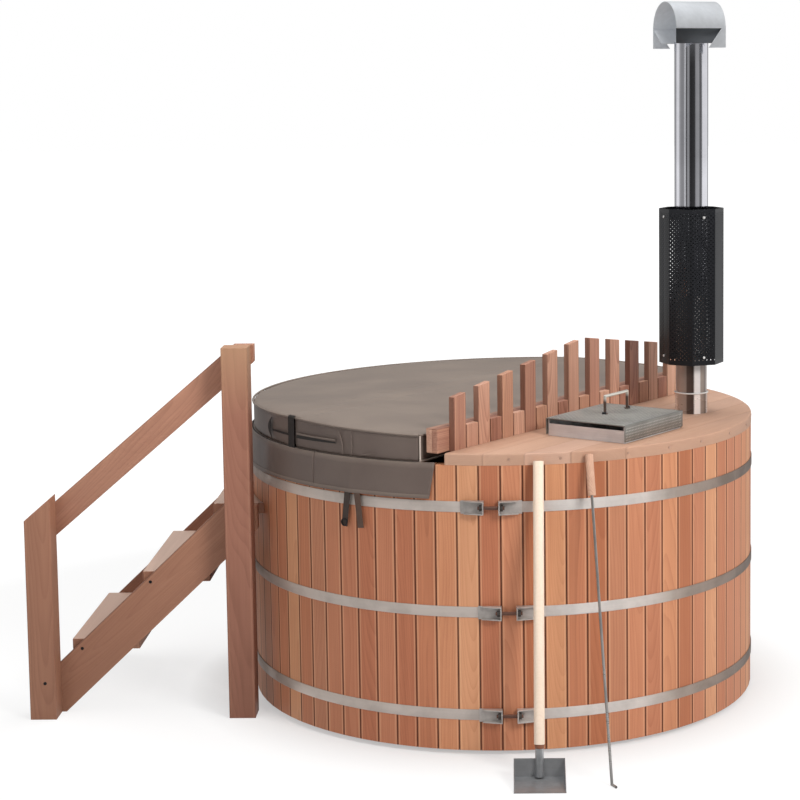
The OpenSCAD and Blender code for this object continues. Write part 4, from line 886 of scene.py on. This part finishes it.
def settle(obj):
    """Applies every modifier of an object."""
    shaped = obj.evaluated_get(bpy.context.evaluated_depsgraph_get())
    mesh = bpy.data.meshes.new_from_object(shaped)
    obj.modifiers.clear()
    obj.data = mesh


def paint_top_light(bm, least=0.0):
    """Painted light from above: writes into the mesh how much a point faces up, from 0 on the sides to 1."""
    bm.normal_update()
    layer = bm.verts.layers.float.new("light_from_top")
    for v in bm.verts:
        v[layer] = max(least, min(1.0, (v.normal.z - 0.25) / 0.5))


def padded_half(name, body):
    pad = blown(name, 0.010, 0.003, 0.004)
    pad.name = "pad_" + name
    pad.data.materials.append(vinyl)
    bm = bmesh.new()
    bm.from_mesh(pad.data)
    paint_top_light(bm)
    bm.to_mesh(pad.data)
    bm.free()
    pad.data.polygons.foreach_set("use_smooth", [True] * len(pad.data.polygons))
    sub = pad.modifiers.new("fine", "SUBSURF")
    sub.levels = sub.render_levels = 1
    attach(pad, body)
    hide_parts(name)
    print(pad.name, len(pad.data.vertices), "points")


padded_half("cover_outer_half", "cover_outer")
padded_half("cover_inner_half", "cover_inner")

# %% The cover's own places
def widest(name):
    """The radius of a round CAD node, in millimetres."""
    return max(v.co.xy.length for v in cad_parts[name].data.vertices) * 1000


tub_r, rim_r = widest("staves"), widest("cover_outer_half")
fold_x, edge_x = reach("cover_inner_half", ACROSS)
foot_z, fold_z = (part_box("cover_outer_half")[i][2] * 1000 for i in (0, 1))
rim_z = foot_z + 95
print("cover in mm: rim radius", round(rim_r, 1), "fold at", round(fold_x, 1), "end at", round(edge_x, 1))


def turn_at(across, radius):
    """The angle at which a circle round the tub's axis gets this far across."""
    return degrees(acos(across / radius))


fold_turn, edge_turn = turn_at(fold_x, rim_r), turn_at(edge_x, rim_r)


def top_at(across):
    """The height of the cover's top, which slopes from the fold down to both rims."""
    if across < fold_x:
        return rim_z + (fold_z - rim_z) * (across + tub_r) / (fold_x + tub_r)
    return fold_z + (rim_z - fold_z) * (across - fold_x) / (edge_x - fold_x)


def ribbon(bm, points, sides, outs, width, thick):
    """A flat strap: it follows the points, sides gives its width's direction and outs its outside."""
    rings = []
    for i, (p, s, o) in enumerate(zip(points, sides, outs)):
        half = s.normalized() * (width[i] if isinstance(width, list) else width) / 2000
        up = o.normalized() * thick / 1000
        rings.append([bm.verts.new(c) for c in (p + half, p - half, p - half + up, p + half + up)])
    joined(bm, rings)


def tube(bm, points, radius):
    """A round cord through the points. radius is one number, or one for each point."""
    rings = []
    for i, p in enumerate(points):
        ahead = (points[min(i + 1, len(points) - 1)] - points[max(i - 1, 0)]).normalized()
        across = ahead.cross(UP if abs(ahead.z) < 0.9 else Vector((1, 0, 0))).normalized()
        upward = across.cross(ahead)
        r = (radius[i] if isinstance(radius, list) else radius) / 1000
        rings.append(ring_at(bm, p, across * r, upward * r))
    joined(bm, rings)


def outside(bm, least=0.0):
    """Turns every face outwards, writes the painted light from above and gives the mesh back."""
    bmesh.ops.recalc_face_normals(bm, faces=bm.faces)
    paint_top_light(bm, least)
    return bm


def turns(start, end, step=1.0):
    count = max(2, int(abs(end - start) / step) + 1)
    return [start + (end - start) * i / (count - 1) for i in range(count)]


# %% [markdown]
# ## Welts, and a painted shadow at the foot
# Where the vinyl of the top meets the rim's, a cord is sewn in and stands up as a welt. A curve with
# a round bevel could draw it too, but a tube through points can follow the sloping top edge.

# %% Welts round the padded halves
def rim_path(start, end, radius, height=None):
    """Points along the cover's rim, at a height or else along the sloping top edge."""
    return [about(a, radius, height or top_at(radius * cos(radians(a))) - welt_in) for a in turns(start, end)]


welt_in, welt_r = 5.0, 3.8
for half, body, spans in (("outer", "cover_outer", [(fold_turn + 0.1, 360 - fold_turn - 0.1)]),
                          ("inner", "cover_inner", [(edge_turn + 0.3, fold_turn - 0.1),
                                                    (-edge_turn - 0.3, 0.1 - fold_turn)])):
    bm = bmesh.new()
    for a0, a1 in spans:
        tube(bm, rim_path(a0, a1, rim_r - welt_in), welt_r)
    if half == "inner":
        end_y = sqrt(rim_r ** 2 - edge_x ** 2) - 8
        for height in (rim_z - welt_in, foot_z + 6):
            tube(bm, [spot(edge_x - welt_in, y, height) for y in (-end_y, 0, end_y)], welt_r)
        piping = bmesh.new()
        for y in (-end_y, end_y):
            tube(piping, [spot(edge_x - 3, y, z) for z in (foot_z + 5, rim_z - 60, rim_z - 6)], 3.0)
        piece("corner_piping", outside(piping), highlight_piping, body, (), 60)
    piece("welts_" + half, outside(bm, 0.55), vinyl, body, (), 60)
    # Painted shadow: a thin black cord along the cover's foot stands for the shade between the pad and the
    # skirt.
    bm = bmesh.new()
    for a0, a1 in spans:
        tube(bm, rim_path(a0, a1, rim_r - 1.0, foot_z + 5), 2.6)
    piece("seam_" + half, outside(bm), webbing, body, (), 60)

# %% [markdown]
# ## The fold
# One strip of vinyl bridges the two halves, and black webbing is sewn over the fold at the rim. Both are
# baked into place and handed to neither body.

# %% The strip over the fold, and the black webbing at its ends
bm = bmesh.new()
lines = []
strip_half, tuck = 80, 22
for x in (-strip_half, -62, -44, -26, -10, -3, 3, 10, 26, 44, 62, strip_half):
    far = sqrt(rim_r ** 2 - (fold_x + x) ** 2) - 7
    line = []
    for f in turns(-1, 1, 0.02):
        past = max(0, abs(far * f) - far + tuck) / tuck
        height = top_at(fold_x + x) + 0.9 - 3.6 * (abs(x) / strip_half) ** 1.5 - 5 * past ** 2
        line.append(bm.verts.new(spot(fold_x + x, far * f, height)))
    lines.append(line)
joined(bm, lines, closed=False)
strip = piece("fold_strip", outside(bm), vinyl, None, (), 60)
thick = strip.modifiers.new("thick", "SOLIDIFY")
thick.thickness = 0.0012
thick.offset = -1
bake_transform(strip)

bm = bmesh.new()
for sign in (-1, 1):
    a = sign * fold_turn
    out = about(a, 1000, 0)
    along = UP.cross(out)
    heights = (foot_z + 5, foot_z + 35, foot_z + 65, fold_z - 12, fold_z - 4)
    points = [about(a, rim_r + 0.4, z) for z in heights]
    points += [about(a, rim_r - 3, fold_z - 0.6), about(a, rim_r - 8, fold_z + 0.2)]
    outs = [out] * 4 + [out + UP * 0.4, out + UP, UP]
    ribbon(bm, points, [along] * 7, outs, 36, 1.8)
band = piece("webbing_at_fold", outside(bm), webbing, None, "cover_fold_webbing", 40)
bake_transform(band)

# %% [markdown]
# ## Handles and creases
# The handles are straps that lie flat on the rim. Vinyl wrinkles where it is pulled, so a few soft
# creases run over the rim near the fold. They are thin tubes, sunk in the rim and thickest in their
# middle, because a bump alone would not catch the light along them.

# %% The handles, and the creases that they pull in the vinyl
slit_z = foot_z + 46
handle_ends = [turn_at(fold_x + x, rim_r) for x in (29, 221)]


def band_along(bm, start, end, height, width, thick, off=0.3, bow=0.0):
    """A strap laid round the rim. bow lifts its middle off the vinyl."""
    angles = turns(start, end, 0.6)
    lift = [bow * sin(pi * i / (len(angles) - 1)) for i in range(len(angles))]
    points = [about(a, rim_r + off + l, height) for a, l in zip(angles, lift)]
    outs = [about(a, 1000, 0) for a in angles]
    if isinstance(width, tuple):
        width = [width[0] + (width[1] - width[0]) * i / (len(angles) - 1) for i in range(len(angles))]
    ribbon(bm, points, [UP] * len(points), outs, width, thick)


def crease(bm, start, run, width, wave=0, bends=0):
    """A soft ridge in the vinyl. It runs from start, in (across, height), and is widest in its middle."""
    steps = turns(0, 1, 0.1)
    path = [about(-turn_at(start[0] + run[0] * t + wave * sin(bends * t), rim_r), rim_r - 0.6,
                  start[1] + run[1] * t) for t in steps]
    tube(bm, path, [0.25 + width * sin(pi * t) for t in steps])


grips, slit_shadow = bmesh.new(), bmesh.new()
for sign in (-1, 1):
    ends = [sign * a for a in handle_ends]
    band_along(grips, *ends, slit_z + 8.5, 6, 0.8, 0.3, 0.6)
    # Painted shadow: a black tape under each grip stands for the shade in the slit below the strap.
    band_along(slit_shadow, *ends, slit_z, (13, 5), 0.7)
piece("cover_grips", outside(grips), vinyl, "cover_inner", "cover_handles", 40)
piece("grip_painted_shadow", outside(slit_shadow), webbing, "cover_inner", (), 40)

# Painted shade on the outer half: short black bands carry the slit's shadow past the fold, and a dark
# crescent stands for the shade in a fold of the vinyl.
bm = bmesh.new()
crease_shade = [(-381 - 22 * (1 - t * t), foot_z + 52 + 38 * t) for t in turns(-1, 1, 0.125)]
for sign in (-1, 1):
    band_along(bm, sign * (fold_turn + 1.4), sign * (fold_turn + 8.6), slit_z, 7, 0.6)
    path = [about(sign * turn_at(x, rim_r), rim_r + 0.2, z) for x, z in crease_shade]
    outs = [about(sign * turn_at(x, rim_r), 1000, 0) for x, z in crease_shade]
    widths = [1 + 26 * sin(pi * i / (len(path) - 1)) for i in range(len(path))]
    ribbon(bm, path, [UP.cross(o) for o in outs], outs, widths, 0.6)
piece("crease_shade", outside(bm), webbing, "cover_outer", (), 40)

bm = bmesh.new()
crease(bm, (-22, rim_z - 6), (26, -80), 2.6, 6, 4)
crease(bm, (-14, rim_z - 8), (8, -40), 1.6)
crease(bm, (34, rim_z - 6), (0, -84), 1.5, 3, 3)
crease(bm, (70, foot_z + 14), (60, 10), 1.6)
piece("creases", outside(bm), vinyl, "cover_inner", (), 60)

# %% [markdown]
# ## The skirt
# A thin vinyl sheet leaves the cover's foot and hangs over the staves' tops. A cloth run could drape
# it, but its hem has to stay above the top hoop, and its lengths have to meet edge to edge. So it is
# a grid of points that a smooth noise pushes into shallow folds, and Solidify gives it its thickness.

# %% The skirt
skirt_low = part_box("cover_outer_skirt")[0][2] * 1000
split_turn, end_turn = turn_at(fold_x / 2, tub_r + 4.5), turn_at(edge_x + 51, tub_r + 4.5)
pull_turn = 87


def hanging(start, end, slant, radius, height, down):
    """One row of places along a skirt. down goes from 0 at the cover's foot to 1 at the hem, and slant
    gives the degrees by which the two ends lean at the hem."""
    row = []
    for a in turns(start, end, 0.5):
        share = (a - start) / (end - start)
        lean = (slant[0] * (1 - share) + slant[1] * share) * down
        turn = radians(a)
        wave = noise.noise(Vector((cos(turn) * 7, sin(turn) * 7, down * 0.8)))
        fine = noise.noise(Vector((a * 0.9, down * 2, 5)))
        pull = 3.5 * exp(-((abs(a) - pull_turn) / 1.6) ** 2) * down ** 0.5
        out = (wave * 5.0 + fine * 1.3) * min(1, down * 2) * 0.6 + pull
        inner = rim_r + 1 if height > foot_z + 6 and abs(a) < edge_turn else radius
        row.append(about(a + lean, inner + out, height))
    return row


def hung(name, start, end, body, node_name, slant=(0, 0)):
    """One length of skirt. It leaves the cover's foot, bends over the staves and hangs in shallow folds."""
    bm = bmesh.new()
    rows = [(rim_r - 26, foot_z + 7), (rim_r + 1, foot_z + 5), (rim_r + 7, foot_z - 0.5)]
    rows += [(tub_r + 6 + 5 * i / 10, foot_z - 3 - (foot_z - skirt_low - 3) * i / 10) for i in range(1, 11)]
    grid = [[bm.verts.new(p) for p in hanging(start, end, slant, radius, height, max(0.0, (i - 2) / 10))]
            for i, (radius, height) in enumerate(rows)]
    joined(bm, grid, closed=False)
    outside(bm)
    middle = bm.faces[len(bm.faces) // 2]
    if middle.normal.dot(middle.calc_center_median()) < 0:
        bmesh.ops.reverse_faces(bm, faces=bm.faces)
    sheet = piece(name, bm, vinyl, body, node_name, 80)
    shell = sheet.modifiers.new("thick", "SOLIDIFY")
    shell.thickness = 0.0018
    shell.offset = 0
    bm = bmesh.new()
    radius, height = rows[-1]
    hem = hanging(start, end, slant, radius + 0.9, height + 7, 1.0)
    outs = [about(a, 1000, 0) for a in turns(start, end, 0.5)]
    ribbon(bm, hem, [UP] * len(hem), outs, 13, 1.2)
    edge = piece(name + "_hem", outside(bm), vinyl, body, (), 60)


hung("skirt_outer", split_turn, 360 - split_turn, "cover_outer", "cover_outer_skirt")
hung("skirt_inner_near", -split_turn, -end_turn, "cover_inner", "cover_inner_skirt", (0, -1.1))
hung("skirt_inner_far", end_turn, split_turn, "cover_inner", "cover_inner_skirt", (1.1, 0))

# %% [markdown]
# ## Tie straps
# Two straps with rings hang below the skirt's hem. They keep the CAD model's shape, and what the skirt
# hides of them is cut away.

# %% The tie straps
bm = eased_copy("tie_straps", 0.8)
cut = bmesh.ops.bisect_plane(bm, geom=bm.verts[:] + bm.edges[:] + bm.faces[:], clear_outer=True, plane_no=UP,
                             plane_co=UP * (skirt_low + 1) / 1000)
bmesh.ops.edgeloop_fill(bm, edges=[e for e in cut["geom_cut"] if isinstance(e, bmesh.types.BMEdge)])
straps = piece("hanging_straps", bm, (strap_cloth, brown_strap), "cover_inner", "tie_straps", 40)
places = [face.center.dot(ACROSS) for face in straps.data.polygons]
strap_middle = sum(places) / len(places)
second_finish(straps, lambda middle, normal: middle.dot(ACROSS) > strap_middle)
fitting("strap_rings", black_paint, 0.0, "cover_inner")
